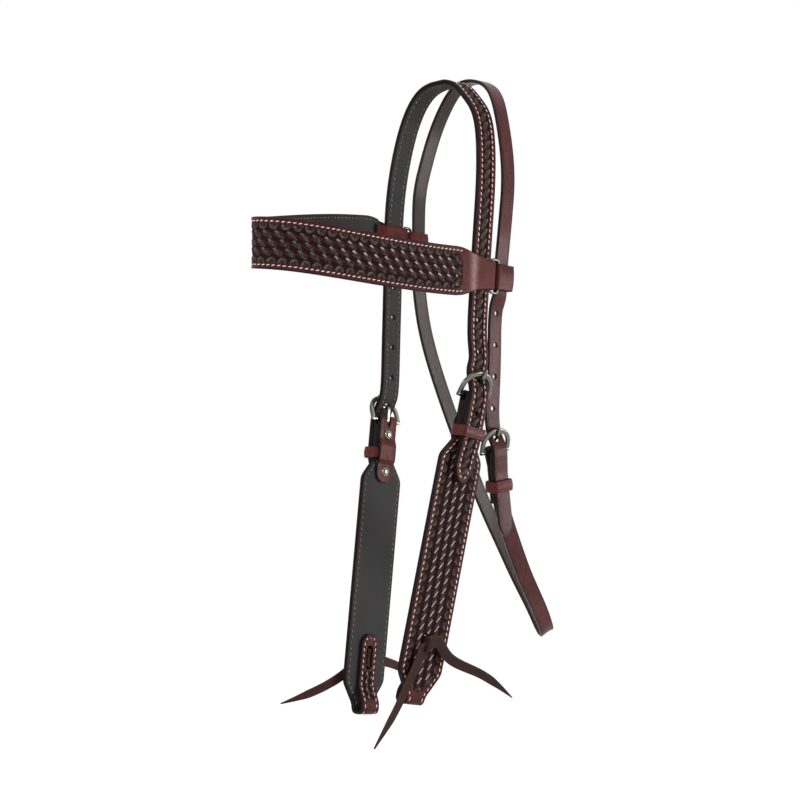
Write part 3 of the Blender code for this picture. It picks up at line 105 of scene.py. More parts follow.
BIT_TAB_HEIGHT = 0.0620
BIT_LOOP_RADIUS = 0.0026
BIT_SEAT = 0.0036
LOOP_CLOSING = 0.0200
LACE_SLOT_LENGTH = 0.0195
LACE_SLOT_WIDTH = 0.0076
LACE_SLOT_RISE = 0.0455
CHAPE_INNER_LEG = 0.0523
CHAPE_OUTER_LEG = 0.0380
UPPER_RIVET_DROP = 0.0120
LOWER_RIVET_DROP = 0.0432
RIVET_SHAFT = 0.0013
RIVET_DOME = 0.0039
RIVET_DOME_HEIGHT = 0.0019
RIVET_BURR = 0.0032
RIVET_BURR_HEIGHT = 0.0004
CHEEK_KEEPER_DROP = 0.0280
KEEPER_HEIGHT = 0.0095
KEEPER_PLAY = 0.0020
KEEPER_CORNER = 0.0005
BROWBAND_WIDTH = 0.0381
BROWBAND_THICKNESS = 0.0020
BROWBAND_REACH = 0.1680
BROWBAND_TAB_WIDTH = 0.0225
BROWBAND_NECK_WIDTH = 0.0290
BROWBAND_SAG = 0.0027
SLOPE_EVEN_SHARE = 0.28
BROWBAND_TAIL = 0.0205
NEAR_BROWBAND_DROP = 0.1590
FAR_BROWBAND_DROP = 0.1235
LINING_SETBACK = 0.0050
WIRE_RADIUS = 0.0012
WIRE_CORNER = 0.0028
WIRE_ROOM = 0.0008
BROWBAND_RING_REACH = 0.0085
THROAT_LOOP_HEIGHT = 0.0205
LOOP_THICKNESS = 0.0016
THROAT_WIDTH = 0.0140
THROAT_BAR_RADIUS = 0.0015
THROAT_BAR_REACH = 0.0485
THROAT_BAR_SET = 0.0029
THROAT_BAR_DROP = 0.2991
THROAT_LEAN_SHARE = 0.135
THROAT_TURN_SHARE = 0.10
THROAT_TURN_BACK = 0.0420
THROAT_BILLET = 0.0690
THROAT_TIP = 0.0110
THROAT_BUCKLE_HEIGHT = 0.0186
THROAT_BUCKLE_ROOM = 0.0040
THROAT_ARCH_LIFT = 0.0056
THROAT_HOLES = 4
THROAT_KEEPER_DROP = 0.0280
THROAT_HOLE_PITCH = 0.0254
THROAT_HOLE_RISE = 0.0092
THROAT_FOLD = 0.0110
LACE_WIDTH = 0.0066
LACE_TIP = 0.0260
LACE_RISE = 0.0050
LACE_BEND = 0.0022
LACE_HUMP = 0.0024
LACE_TAIL = 0.0880
NEAR_REAR_TAIL_SHARES = ((-0.23, 0.086, 0.055), (-0.61, 0.142, 0.160), (-1.02, 0.200, 0.330))
NEAR_FRONT_TAIL_SHARES = (
    (0.075, 0.056, 0.110),
    (0.270, 0.115, 0.510),
    (0.370, 0.150, 0.660),
    (0.520, 0.190, 0.880),
)
FAR_REAR_TAIL_SHARES = ((-0.23, 0.080, 0.010), (-0.52, 0.120, 0.073), (-0.96, 0.170, 0.222))
FAR_FRONT_TAIL_SHARES = (
    (0.100, 0.056, 0.090),
    (0.240, 0.080, 0.195),
    (0.530, 0.120, 0.338),
    (0.855, 0.170, 0.445),
)
NEAR_POLL_SHARES = (
    (0.22, 0.00, 0.014),
    (0.46, -0.02, 0.058),
    (0.70, -0.06, 0.126),
    (0.88, -0.28, 0.280),
    (0.925, -0.44, 0.400),
    (0.920, -0.54, 0.520),
    (0.905, -0.64, 0.670),
    (0.915, -0.74, 0.820),
)
FAR_POLL_SHARES = (
    (0.44, 0.00, 0.008),
    (0.64, -0.03, 0.036),
    (0.86, -0.07, 0.104),
    (0.985, -0.22, 0.212),
    (1.020, -0.38, 0.320),
    (1.005, -0.51, 0.440),
    (0.965, -0.63, 0.605),
    (0.945, -0.73, 0.776),
)
THROAT_DEPTH = 0.1080
THROAT_DROP = 0.4620
THROAT_NEAR_LOW_SHARES = (
    (0.700, 0.330, 0.4751),
    (0.540, 0.560, 0.6710),
    (0.330, 0.840, 0.8668),
)
THROAT_BOTTOM_SHARES = ((0.120, 1.020, 0.994), (-0.040, 1.050, 0.982))
THROAT_FAR_SHARES = (
    (-0.160, 1.020, 0.950),
    (-0.400, 0.975, 0.897),
    (-0.610, 0.900, 0.834),
    (-0.780, 0.770, 0.755),
    (-0.930, 0.510, 0.609),
    (-0.990, 0.370, 0.527),
    (-1.010, 0.240, 0.446),
    (-1.000, 0.160, 0.370),
    (-0.965, 0.137, 0.290),
    (-0.990, 0.118, 0.219),
    (-0.975, 0.145, 0.178),
    (-0.900, 0.175, 0.125),
    (-0.780, 0.205, 0.075),
    (-0.560, 0.225, 0.026),
    (-0.200, 0.232, -0.010),
)
THROAT_NEAR_HIGH_SHARES = (
    (0.240, 0.236, -0.0093),
    (0.560, 0.200, 0.0309),
    (0.790, 0.146, 0.0942),
    (0.872, 0.147, 0.1622),
    (0.908, 0.155, 0.2301),
    (0.916, 0.153, 0.2981),
    (0.908, 0.137, 0.3661),
    (0.895, 0.120, 0.4340),
    (0.875, 0.052, 0.6179),
    (0.885, 0.028, 0.7105),
    (0.895, 0.012, 0.8186),
)
THROAT_LOW_ACROSS_SHARES = (0.20, 0.92, 0.30)
THROAT_BOTTOM_ACROSS_SHARES = (0.02, 0.93, 0.36)
LACE_LEAN_SHARES = (0.5, 0.87)
TIP_SHARES = ((0.0, 0.16), (0.12, 0.40), (0.42, 0.75), (1.0, 1.0))
ROUND_END_SHARES = ((0.0, 0.30), (0.08, 0.52), (0.25, 0.76), (0.55, 0.94), (1.0, 1.0))
CENTRIPETAL = 0.5
UP = Vector((0, 0, 1))
BACK = Vector((0, 1, 0))


def natural_spline(knots, values, places):
    """A smooth cubic through the values, straight at its two ends."""
    count = len(knots)
    gaps = np.diff(knots)
    matrix = np.eye(count)
    right = np.zeros_like(values)
    for i in range(1, count - 1):
        matrix[i, i - 1 : i + 2] = gaps[i - 1], 2 * (gaps[i - 1] + gaps[i]), gaps[i]
        rise_after = (values[i + 1] - values[i]) / gaps[i]
        rise_before = (values[i] - values[i - 1]) / gaps[i - 1]
        right[i] = 6 * (rise_after - rise_before)
    bend = np.linalg.solve(matrix, right)
    i = np.clip(np.searchsorted(knots, places, side="right") - 1, 0, count - 2)
    gap = gaps[i][:, None]
    before = (knots[i + 1] - places)[:, None] / gap
    after = 1 - before
    cubic = (before**3 - before) * bend[i] + (after**3 - after) * bend[i + 1]
    return before * values[i] + after * values[i + 1] + cubic * gap**2 / 6


def smooth_points(stations, across):
    """Close points on a smooth line through the stations, and the across direction at each."""
    stations = np.array([tuple(p) for p in stations], float)
    across = np.array([tuple(a) for a in across], float)
    gaps = np.linalg.norm(np.diff(stations, axis=0), axis=1) ** CENTRIPETAL
    knots = np.concatenate([[0.0], np.cumsum(gaps)])
    shares = np.arange(SPLINE_STEPS * (len(knots) - 1) + 1) / SPLINE_STEPS
    places = np.interp(shares, np.arange(len(knots)), knots)
    hints = np.stack([np.interp(places, knots, across[:, k]) for k in range(3)], -1)
    return natural_spline(knots, stations, places), hints


def rounded_line(corners, radii):
    """The points of a line whose inner corners are rounded by arcs; a radius of 0 keeps a corner."""
    points = [np.array(corners[0], float)]
    for i in range(1, len(corners) - 1):
        before, here, after = (np.array(corners[k], float) for k in (i - 1, i, i + 1))
        into = (here - before) / np.linalg.norm(here - before)
        out = (after - here) / np.linalg.norm(after - here)
        turn = math.acos(max(-1.0, min(1.0, float(into @ out))))
        if radii[i] == 0 or turn == 0:
            points.append(here)
            continue
        setback = radii[i] * math.tan(turn / 2)
        normal = out - into * float(into @ out)
        normal = normal / np.linalg.norm(normal)
        start = here - into * setback
        steps = max(2, math.ceil(turn / ARC_STEP))
        for k in range(steps + 1):
            angle = turn * k / steps
            along = into * radii[i] * math.sin(angle)
            points.append(start + along + normal * radii[i] * (1 - math.cos(angle)))
    points.append(np.array(corners[-1], float))
    return np.array(points)


class Route:
    """A line in space with the strip's frame at each point: along, across and outward."""

    def __init__(self, points, across):
        points = np.array([tuple(p) for p in points], float)
        across = np.array([tuple(a) for a in across], float)
        steps = np.linalg.norm(np.diff(points, axis=0), axis=1)
        keep = np.concatenate([[True], steps > CLEARANCE / 10])
        self.points = points[keep]
        self.across = across[keep]
        steps = np.linalg.norm(np.diff(self.points, axis=0), axis=1)
        self.places = np.concatenate([[0.0], np.cumsum(steps)])
        self.length = float(self.places[-1])
        chords = np.diff(self.points, axis=0) / steps[:, None]
        along = np.vstack([chords[:1], chords[:-1] + chords[1:], chords[-1:]])
        self.along = along / np.linalg.norm(along, axis=1)[:, None]

    def value(self, table, place):
        return Vector([float(np.interp(place, self.places, table[:, k])) for k in range(3)])

    def at(self, place):
        """The point at an arc length, and the directions along, across and outward there."""
        point = self.value(self.points, place)
        along = self.value(self.along, place).normalized()
        across = self.value(self.across, place)
        across = (across - along * across.dot(along)).normalized()
        return point, along, across, along.cross(across)

    def nearest(self, target):
        """The arc length of the route's nearest point to a target."""
        starts = self.points[:-1]
        chords = np.diff(self.points, axis=0)
        lengths = np.linalg.norm(chords, axis=1)
        reach = np.array(tuple(target)) - starts
        shares = np.clip((reach * chords).sum(1) / lengths**2, 0, 1)
        gaps = np.linalg.norm(reach - chords * shares[:, None], axis=1)
        best = int(np.argmin(gaps))
        return float(self.places[best] + shares[best] * lengths[best])


def local_route(corners, radii):
    """A route in the local plane x = 0, from (outward, up) corners."""
    line = rounded_line(corners, radii)
    points = [(0.0, outward, up) for outward, up in line]
    return Route(points, [(-1, 0, 0)] * len(points))


def frame_matrix(origin, forward, outward, up):
    """The frame at an origin with X forward, Y outward and Z up."""
    matrix = Matrix((forward, outward, up)).transposed().to_4x4()
    matrix.translation = origin
    return matrix


def width_table(pairs):
    """Half width as a function of arc length, straight between the given pairs."""
    places = [p for p, _ in pairs]
    halves = [h for _, h in pairs]
    return lambda place: float(np.interp(place, places, halves))


def tip_pairs(end, reach, half, sign, shares):
    """Half widths of a pointed or round end: shares of its reach and of the half width."""
    return [(end + sign * a * reach, half * b) for a, b in shares]


def box_outline(low, high, corner, steps=2):
    """A rounded rectangle, anticlockwise, from its low and high corners."""
    points = []
    middle = (np.array(low) + np.array(high)) / 2
    half = (np.array(high) - np.array(low)) / 2
    for quarter, (sx, sy) in enumerate(((1, 1), (-1, 1), (-1, -1), (1, -1))):
        hub = middle + np.array((sx, sy)) * (half - corner)
        for k in range(steps + 1):
            angle = math.radians(90) * (quarter + k / steps)
            points.append(hub + corner * np.array((math.cos(angle), math.sin(angle))))
    return points


PANEL_DEPTH = LINING_THICKNESS + CLEARANCE + TOOLED_THICKNESS
LINING_BASE = -PANEL_DEPTH / 2
TOOLED_BASE = LINING_BASE + LINING_THICKNESS + CLEARANCE
LEG = PANEL_DEPTH / 2 + CLEARANCE
LEG_OVER_KEEPER = LEG + KEEPER_THICKNESS + CLEARANCE
BURR_BASE = LEG + CHAPE_THICKNESS + CLEARANCE
BILLET_BASE = BURR_BASE + RIVET_BURR_HEIGHT + CLEARANCE
KEEPER_TOP = BILLET_BASE + PANEL_DEPTH + CLEARANCE
LOW_BURR_TOP = LEG + RIVET_BURR_HEIGHT
NECK_TOP = -(BAR_RADIUS + CLEARANCE + TONGUE_THICKNESS + CLEARANCE + CLEARANCE)
BILLET_UNDER_ARCH = -PANEL_DEPTH * 3 / 4


def seat_matrix(side, drop, lead, turn):
    """The frame at a cheek buckle's bar: X along the bar, Y outward, Z up the cheek."""
    up = Vector((side * CHEEK_TUCK_SHARE, lead, 1)).normalized()
    outward = Matrix.Rotation(side * turn, 3, "Z") @ Vector((side, 0, 0))
    outward = (outward - up * outward.dot(up)).normalized()
    forward = outward.cross(up)
    return frame_matrix(Vector((side * BAR_REACH, -BAR_LEAD, -drop)), forward, outward, up)


NEAR_SEAT = seat_matrix(1, NEAR_BAR_DROP, NEAR_LEAD_SHARE, 0.0)
FAR_SEAT = seat_matrix(-1, FAR_BAR_DROP, FAR_LEAD_SHARE, -FAR_CHEEK_TURN)


def billet_line(below_bar):
    """The crown strap's inner face at a cheek buckle, (outward, up), from its tip upwards."""
    over_keeper = (BILLET_BASE, -CHAPE_OUTER_LEG + KEEPER_PLAY)
    past_burr = (LOW_BURR_TOP + CLEARANCE * 2, -LOWER_RIVET_DROP - RIVET_BURR - CLEARANCE)
    if -below_bar < past_burr[1]:
        tip = [(LEG + CLEARANCE, -below_bar), past_burr]
    else:
        share = (-below_bar - over_keeper[1]) / (past_burr[1] - over_keeper[1])
        tip = [(BILLET_BASE + share * (past_burr[0] - BILLET_BASE), -below_bar)]
    corners = tip + [
        over_keeper,
        (BILLET_BASE, TONGUE_HOLE_RISE / 4),
        (BILLET_UNDER_ARCH, BUCKLE_HEIGHT - BUCKLE_BAND / 2),
        (BILLET_UNDER_ARCH, BUCKLE_HEIGHT * 3 / 2),
    ]
    bend = BUCKLE_HEIGHT
    return rounded_line(corners, [0] + [bend] * (len(corners) - 2) + [0])


NEAR_BILLET = billet_line(BILLET_BELOW_BAR)
FAR_BILLET = billet_line(BILLET_BELOW_BAR - HOLE_PITCH)


def crown_route():
    """The crown strap's inner face from the near billet's tip over the poll to the far one's."""
    near_line = [NEAR_SEAT @ Vector((0, y, z)) for y, z in NEAR_BILLET]
    far_line = [FAR_SEAT @ Vector((0, y, z)) for y, z in FAR_BILLET]
    flat = POLL_FLAT / 2
    shift = -POLL_FLAT * 3 / 7
    stations = [near_line[-2], near_line[-1]]
    for x, y, z in reversed(NEAR_POLL_SHARES):
        stations.append((x * HEAD_HALF_WIDTH, y * BAR_LEAD, -z * NEAR_BAR_DROP))
    stations.append((flat + shift, 0, 0))
    up_points, _ = smooth_points(stations, [-BACK] * len(stations))
    stations = [(-flat + shift, 0, 0)]
    for x, y, z in FAR_POLL_SHARES:
        stations.append((-x * HEAD_HALF_WIDTH, y * BAR_LEAD, -z * FAR_BAR_DROP))
    stations += [far_line[-1], far_line[-2]]
    down_points, _ = smooth_points(stations, [-BACK] * len(stations))
    points = near_line[:-2] + list(up_points) + list(down_points) + far_line[-3::-1]
    near_across = NEAR_SEAT.to_3x3() @ Vector((1, 0, 0))
    far_across = FAR_SEAT.to_3x3() @ Vector((-1, 0, 0))
    across = [near_across] * (len(near_line) - 2)
    for point in list(up_points) + list(down_points):
        x = float(point[0]) / BAR_REACH
        depth = min(1.0, max(0.0, -float(point[2]) / NEAR_BAR_DROP))
        seat = near_across if x > 0 else far_across
        across.append((-BACK).lerp(seat, depth))
    across += [far_across] * (len(far_line) - 2)
    return Route(points, across)


def crown_width(route):
    """Half widths of the crown strap: even, with a pointed tip at each end."""
    half = CROWN_WIDTH / 2
    start = tip_pairs(0.0, BILLET_TIP, half, 1, TIP_SHARES)
    end = tip_pairs(route.length, BILLET_TIP, half, -1, TIP_SHARES)
    return width_table(start + end[::-1])


def crown_hole_places(route):
    """Arc lengths of the tongue holes of both ends, then of the other billet holes."""
    tongues = []
    others = []
    for seat, line, sign, first in ((NEAR_SEAT, NEAR_BILLET, 1, -1), (FAR_SEAT, FAR_BILLET, -1, 0)):
        out = outward_at(line, TONGUE_HOLE_RISE)
        start = route.nearest(seat @ Vector((0, out, TONGUE_HOLE_RISE)))
        tongues.append(start)
        steps = [k for k in range(first, first + CROWN_HOLES) if k]
        others += [start + sign * k * HOLE_PITCH for k in steps]
    return tongues, others


def cheek_outer_line():
    """The tooled layer's inner face, (outward, up): down the cheek, round the bit loop, up behind."""
    bottom = -CHEEK_LENGTH + TOOLED_THICKNESS
    radius = BIT_LOOP_RADIUS
    deep = TOOLED_BASE - 2 * radius - BIT_SEAT
    closed = LINING_BASE - CLEARANCE
    easy = LOOP_CLOSING / 2
    corners = [
        (TOOLED_BASE, NECK_TOP),
        (TOOLED_BASE, bottom),
        (deep, bottom),
        (deep, bottom + LOOP_CLOSING / 3),
        (closed, bottom + LOOP_CLOSING),
        (closed, bottom + BIT_TAB_HEIGHT),
    ]
    return corners, [0, radius, radius, easy, easy, 0]


def panel_pairs(top, bottom):
    """Half widths from the neck to the foot of the cheek, by distance down from its top."""
    neck = NECK_WIDTH / 2
    full = CHEEK_WIDTH / 2
    foot = BIT_TAB_WIDTH / 2
    length = top - bottom
    shoulder = NECK_LENGTH + top
    return [
        (0.0, neck),
        (shoulder, neck),
        (shoulder + SHOULDER_LENGTH * 0.12, neck + (full - neck) * 0.07),
        (shoulder + SHOULDER_LENGTH * 0.88, neck + (full - neck) * 0.93),
        (shoulder + SHOULDER_LENGTH, full),
        (length - FOOT_LENGTH, full),
        (length - FOOT_LENGTH * 0.90, full - (full - foot) * 0.05),
        (length - FOOT_STRAIGHT * 1.3, foot + (full - foot) * 0.06),
        (length - FOOT_STRAIGHT, foot),
        (length, foot),
    ]


def chape_corners():
    """The chape's inner face round the buckle bar, (outward, up), from the foot of its inner leg."""
    keeper_low = -CHEEK_KEEPER_DROP - KEEPER_HEIGHT / 2 - CLEARANCE
    keeper_high = -CHEEK_KEEPER_DROP + KEEPER_HEIGHT / 2 + KEEPER_PLAY + CLEARANCE
    low_head = -LOWER_RIVET_DROP + RIVET_DOME
    high_head = -UPPER_RIVET_DROP - RIVET_DOME
    return [
        (-LEG, -CHAPE_INNER_LEG),
        (-LEG, (low_head + keeper_low) / 2 - CLEARANCE * 2),
        (-LEG_OVER_KEEPER, keeper_low),
        (-LEG_OVER_KEEPER, keeper_high),
        (-LEG, high_head),
        (-LEG, LEG),
        (LEG, LEG),
        (LEG, -CHAPE_OUTER_LEG),
    ]


def cheek_keeper_outline():
    """The inside of a cheek keeper, (forward, outward)."""
    half = NECK_WIDTH / 2 + CLEARANCE
    return box_outline((-half, -LEG), (half, KEEPER_TOP), KEEPER_CORNER)


def tongue_line(bar_radius, billet, billet_thickness, hole_rise, height, lift):
    """The tongue's side next to the bar and arch, (outward, up): coil, way through, arch."""
    coil = bar_radius + CLEARANCE
    thick = TONGUE_THICKNESS
    lean = math.atan2(lift, height - BUCKLE_BAND / 2)
    along_arch = np.array((math.sin(lean), math.cos(lean)))
    off_arch = np.array((math.cos(lean), -math.sin(lean)))
    arch = np.array((lift, height - BUCKLE_BAND / 2))
    over = arch + off_arch * (BUCKLE_DEPTH / 2 + CLEARANCE + thick)
    over_start = over - along_arch * BUCKLE_BAND * 0.8
    over_end = over + along_arch * (BUCKLE_BAND / 2 + TONGUE_OVERHANG)
    low = np.array((outward_at(billet, hole_rise - thick), hole_rise - thick))
    high = np.array((outward_at(billet, hole_rise + thick), hole_rise + thick))
    slope = (high - low) / np.linalg.norm(high - low)
    middle = (low + high) / 2 + np.array((slope[1], -slope[0])) * billet_thickness / 2
    way = (over_start - middle) / np.linalg.norm(over_start - middle)
    under = middle + np.array((way[1], -way[0])) * thick / 2
    way = (over_start - under) / np.linalg.norm(over_start - under)
    corner = under + way * (-coil - under[0]) / way[0]
    bend = thick + CLEARANCE * 2
    corners = [(coil * 0.7, -coil), (-coil, -coil), corner, over_start, over_end]
    return corners, [0, coil, bend, bend, 0]


def outward_at(line, rise):
    """How far outward a line of (outward, up) points lies at a height."""
    return float(np.interp(rise, [up for _, up in line], [out for out, _ in line]))


def lace_loop():
    """The lace's outer side through the slot, (forward, outward): over, in, back out and under."""
    under = LEG + LACE_THICKNESS
    over = under + LACE_HUMP
    inside = LINING_BASE - CLEARANCE - TOOLED_THICKNESS + LACE_THICKNESS / 4
    side = LACE_BEND + CLEARANCE
    return rounded_line(
        [
            (-LACE_SLOT_WIDTH, over),
            (side, over),
            (side, inside),
            (-side, inside),
            (-side, under),
            (side, under),
        ],
        [0, LACE_BEND * 0.9, LACE_BEND, LACE_BEND, LACE_BEND * 0.9, 0],
    )


def lace_line(forward, rear_tail, front_tail):
    """The route of a flat lace, and where its knot starts and ends.

    Its rear tail crosses the slot, turns back inside it and leaves in front.
    """
    middle = Vector((0, 0, -CHEEK_LENGTH + LACE_SLOT_RISE))

    def station(shares):
        ahead, out, drop = (share * LACE_TAIL for share in shares)
        return middle + Vector((forward * ahead, out, -drop))

    loop = lace_loop()
    steps = np.linalg.norm(np.diff(loop, axis=0), axis=1)
    places = np.concatenate([[0.0], np.cumsum(steps)]) / steps.sum()
    heights = LACE_RISE * (1 - places * 1.75)
    turns = [
        middle + Vector((forward * ahead, out, height))
        for (ahead, out), height in zip(loop, heights)
    ]
    upright = Vector((0, 0, forward))
    lean, rise = LACE_LEAN_SHARES
    leaning = Vector((forward * lean, 0, rise)) * forward
    rear = [station(shares) for shares in rear_tail[::-1]] + [turns[0], turns[1]]
    rear_points, rear_hints = smooth_points(rear, [upright] * len(rear))
    front = [turns[-2], turns[-1]] + [station(shares) for shares in front_tail]
    front_points, front_hints = smooth_points(front, [upright] + [leaning] * (len(front) - 1))
    points = list(rear_points) + turns[2:-2] + list(front_points)
    across = list(rear_hints) + [upright] * len(turns[2:-2]) + list(front_hints)
    route = Route(points, across)
    knot_start = route.nearest(turns[0])
    knot_end = route.nearest(turns[-1])
    return route, knot_start, knot_end


def plan_frame(route, side, drop):
    """The frame where the browband tab crosses the crown strap: Y outward, Z up the strap."""
    lead = -BAR_LEAD * drop / NEAR_BAR_DROP
    place = route.nearest((side * HEAD_HALF_WIDTH, lead, -drop))
    point, along, _, outward = route.at(place)
    up = along * side
    return frame_matrix(point + outward * PANEL_DEPTH / 2, outward.cross(up), outward, up)


def browband_route(near, far):
    """The tooled layer's inner face: near tail, ring, round the brow, far ring, far tail."""
    over = PANEL_DEPTH / 2 + CLEARANCE
    under_lining = LINING_THICKNESS + 2 * CLEARANCE
    ring = CROWN_WIDTH / 2 + CLEARANCE + WIRE_RADIUS
    front = -CROWN_WIDTH / 2 - CLEARANCE
    tail = rounded_line(
        [
            (-BROWBAND_TAIL, over - under_lining),
            (front - over * 3, over - under_lining),
            (front, -over),
            (ring + over, -over),
            (ring + over, over),
            (front, over),
        ],
        [0, over, over, over, over, 0],
    )
    near_points = [near @ Vector((-back, out, 0)) for back, out in tail]
    far_points = [far @ Vector((back, out, 0)) for back, out in tail][::-1]
    hub = (near_points[-1] + far_points[0]) / 2
    span = (near_points[-1] - far_points[0]) / 2
    reach = Vector((0, -BROWBAND_REACH, 0))
    arc = []
    for k in range(1, BROW_STATIONS):
        angle = math.pi * k / BROW_STATIONS
        across_share = math.cos(angle)
        steep_share = across_share**3 - across_share
        spot = hub + span * across_share + reach * math.sin(angle)
        spot.z += span.z * steep_share * (1 - SLOPE_EVEN_SHARE)
        spot.z -= BROWBAND_SAG * math.sin(angle)
        arc.append(spot)
    stations = [near_points[-1]] + arc + [far_points[0]]
    near_down = near.to_3x3() @ -UP
    far_down = far.to_3x3() @ -UP
    hints = [near_down] + [-UP] * len(arc) + [far_down]
    line, line_hints = smooth_points(stations, hints)
    points = near_points[:-1] + list(line) + far_points[1:]
    across = [near_down] * (len(near_points) - 1) + list(line_hints)
    across += [far_down] * (len(far_points) - 1)
    near_end = sum((b - a).length for a, b in zip(near_points, near_points[1:]))
    return Route(points, across), near_end


def browband_width(route, wrap):
    """Half widths by arc length: tail, fold, over the crown strap, and out to the full band."""
    tab = BROWBAND_TAB_WIDTH / 2
    neck = BROWBAND_NECK_WIDTH / 2
    full = BROWBAND_WIDTH / 2
    taper = BROWBAND_TAPER
    pairs = [
        (0.0, tab),
        (wrap - CROWN_WIDTH, tab),
        (wrap, neck),
        (wrap + taper * 0.45, neck + (full - neck) * 0.62),
        (wrap + taper * 0.80, neck + (full - neck) * 0.94),
        (wrap + taper, full),
    ]
    mirrored = [(route.length - place, half) for place, half in pairs[::-1]]
    return pairs + mirrored


def ring_bars():
    """How far behind the crown strap's middle the wire rectangle's front and rear bars lie."""
    front_bar = CROWN_WIDTH / 2 + WIRE_RADIUS + PANEL_DEPTH / 2 - WIRE_RADIUS
    return front_bar, front_bar + BROWBAND_RING_REACH


def throat_loop_ends():
    """How far back the leather loop's opening starts and ends."""
    start = ring_bars()[1] - WIRE_RADIUS - CLEARANCE
    return start, start + THROAT_WIDTH + 6 * CLEARANCE


def throat_loop_outline(rear):
    """The inside of the leather loop on the ring's rear bar, (rearward, outward)."""
    start, end = throat_loop_ends()
    inner = -WIRE_RADIUS - THROAT_THICKNESS - 4 * CLEARANCE
    outer = WIRE_RADIUS + CLEARANCE
    low = (min(rear * start, rear * end), inner)
    high = (max(rear * start, rear * end), outer)
    return box_outline(low, high, WIRE_RADIUS)


def throat_loop_place(rear, matrix):
    """The frame where the throatlatch's inner face passes through the leather loop."""
    start, end = throat_loop_ends()
    strap_out = -WIRE_RADIUS - THROAT_THICKNESS - 2 * CLEARANCE
    return matrix @ Matrix.Translation((rear * (start + end) / 2, strap_out, 0))


def throat_seat():
    """The frame at the throatlatch buckle's bar: X forward, Y outward, Z up the strap."""
    up = Vector((0, -THROAT_LEAN_SHARE, 1)).normalized()
    outward = Vector((1, -THROAT_TURN_SHARE, 0))
    outward = (outward - up * outward.dot(up)).normalized()
    origin = Vector((THROAT_BAR_REACH, THROAT_BAR_SET, -THROAT_BAR_DROP))
    return frame_matrix(origin, outward.cross(up), outward, up)


THROAT_SEAT = throat_seat()
THROAT_LEG = THROAT_BAR_RADIUS + 2 * CLEARANCE
THROAT_CLOSED = CLEARANCE
THROAT_BILLET_BASE = THROAT_LEG + THROAT_THICKNESS + CLEARANCE
THROAT_LOW_BASE = THROAT_CLOSED + THROAT_THICKNESS + CLEARANCE
THROAT_UNDER_ARCH = THROAT_ARCH_LIFT - BUCKLE_DEPTH - THROAT_THICKNESS - 2 * CLEARANCE


def turn_back_line():
    """The strap's lower end round the bar, (outward, up), from the sewn end of the turn-back."""
    return rounded_line(
        [
            (-THROAT_CLOSED, -THROAT_TURN_BACK),
            (-THROAT_CLOSED, -THROAT_FOLD),
            (-THROAT_LEG, -THROAT_LEG),
            (-THROAT_LEG, THROAT_LEG),
            (THROAT_LEG, THROAT_LEG),
            (THROAT_LEG, -THROAT_LEG),
            (THROAT_CLOSED, -THROAT_FOLD),
            (THROAT_CLOSED, -THROAT_TURN_BACK + THROAT_FOLD),
            (THROAT_CLOSED, -THROAT_TURN_BACK),
        ],
        [0, THROAT_FOLD, THROAT_LEG, THROAT_LEG, THROAT_LEG, THROAT_LEG, THROAT_FOLD, 0, 0],
    )


def throat_billet_line():
    """The upper end's inner face, (outward, up), from above the arch down to the tip."""
    height = THROAT_BUCKLE_HEIGHT
    return rounded_line(
        [
            (THROAT_UNDER_ARCH, height * 1.5),
            (THROAT_UNDER_ARCH, height - BUCKLE_BAND * 5 / 4),
            (THROAT_BILLET_BASE, THROAT_HOLE_RISE / 4),
            (THROAT_BILLET_BASE, -THROAT_LEG),
            (THROAT_LOW_BASE, -THROAT_FOLD * 1.6),
            (THROAT_LOW_BASE, -THROAT_BILLET),
        ],
        [0, height / 2, height / 2, height / 2, height, 0],
    )


def throat_route(near_loop, far_loop):
    """The throatlatch's inner face: turn-back, near side, under the throat, far side, brow, billet."""
    seat = THROAT_SEAT
    low = [seat @ Vector((0, y, z)) for y, z in turn_back_line()]
    high = [seat @ Vector((0, y, z)) for y, z in throat_billet_line()]

    def station(shares, top=0.0, bottom=THROAT_DROP):
        x, y, z = shares
        drop = top + z * (bottom - top)
        return Vector((x * HEAD_HALF_WIDTH, y * THROAT_DEPTH, -drop))

    lower = [low[-2], (low[-2] + low[-1]) / 2, low[-1]]
    lower += [station(s, top=THROAT_BAR_DROP) for s in THROAT_NEAR_LOW_SHARES]
    lower += [station(s) for s in THROAT_BOTTOM_SHARES]
    far = [station(s) for s in THROAT_FAR_SHARES]
    near = [station(s, bottom=THROAT_BAR_DROP) for s in THROAT_NEAR_HIGH_SHARES]
    hints = [Vector(THROAT_LOW_ACROSS_SHARES)] * len(THROAT_NEAR_LOW_SHARES)
    hints += [Vector(THROAT_BOTTOM_ACROSS_SHARES)] * len(THROAT_BOTTOM_SHARES)
    for point in far + near:
        lean = max(0.0, -point.z - HEAD_HALF_WIDTH * 3) / THROAT_DROP
        hints.append(Vector((0, 1, lean if point.x < 0 else 0.0)))
    stations = lower[3:] + far + near
    stations, hints = pass_through(stations, hints, far_loop, 1)
    stations, hints = pass_through(stations, hints, near_loop, -1)
    seat_across = seat.to_3x3() @ Vector((-1, 0, 0))
    stations = lower[:3] + stations + [high[0], high[1]]
    hints = [seat_across] * 3 + hints + [seat_across] * 2
    line, line_hints = smooth_points(stations, hints)
    points = low[:-2] + list(line) + high[2:]
    across = [seat_across] * (len(low) - 2) + list(line_hints) + [seat_across] * (len(high) - 2)
    return Route(points, across)


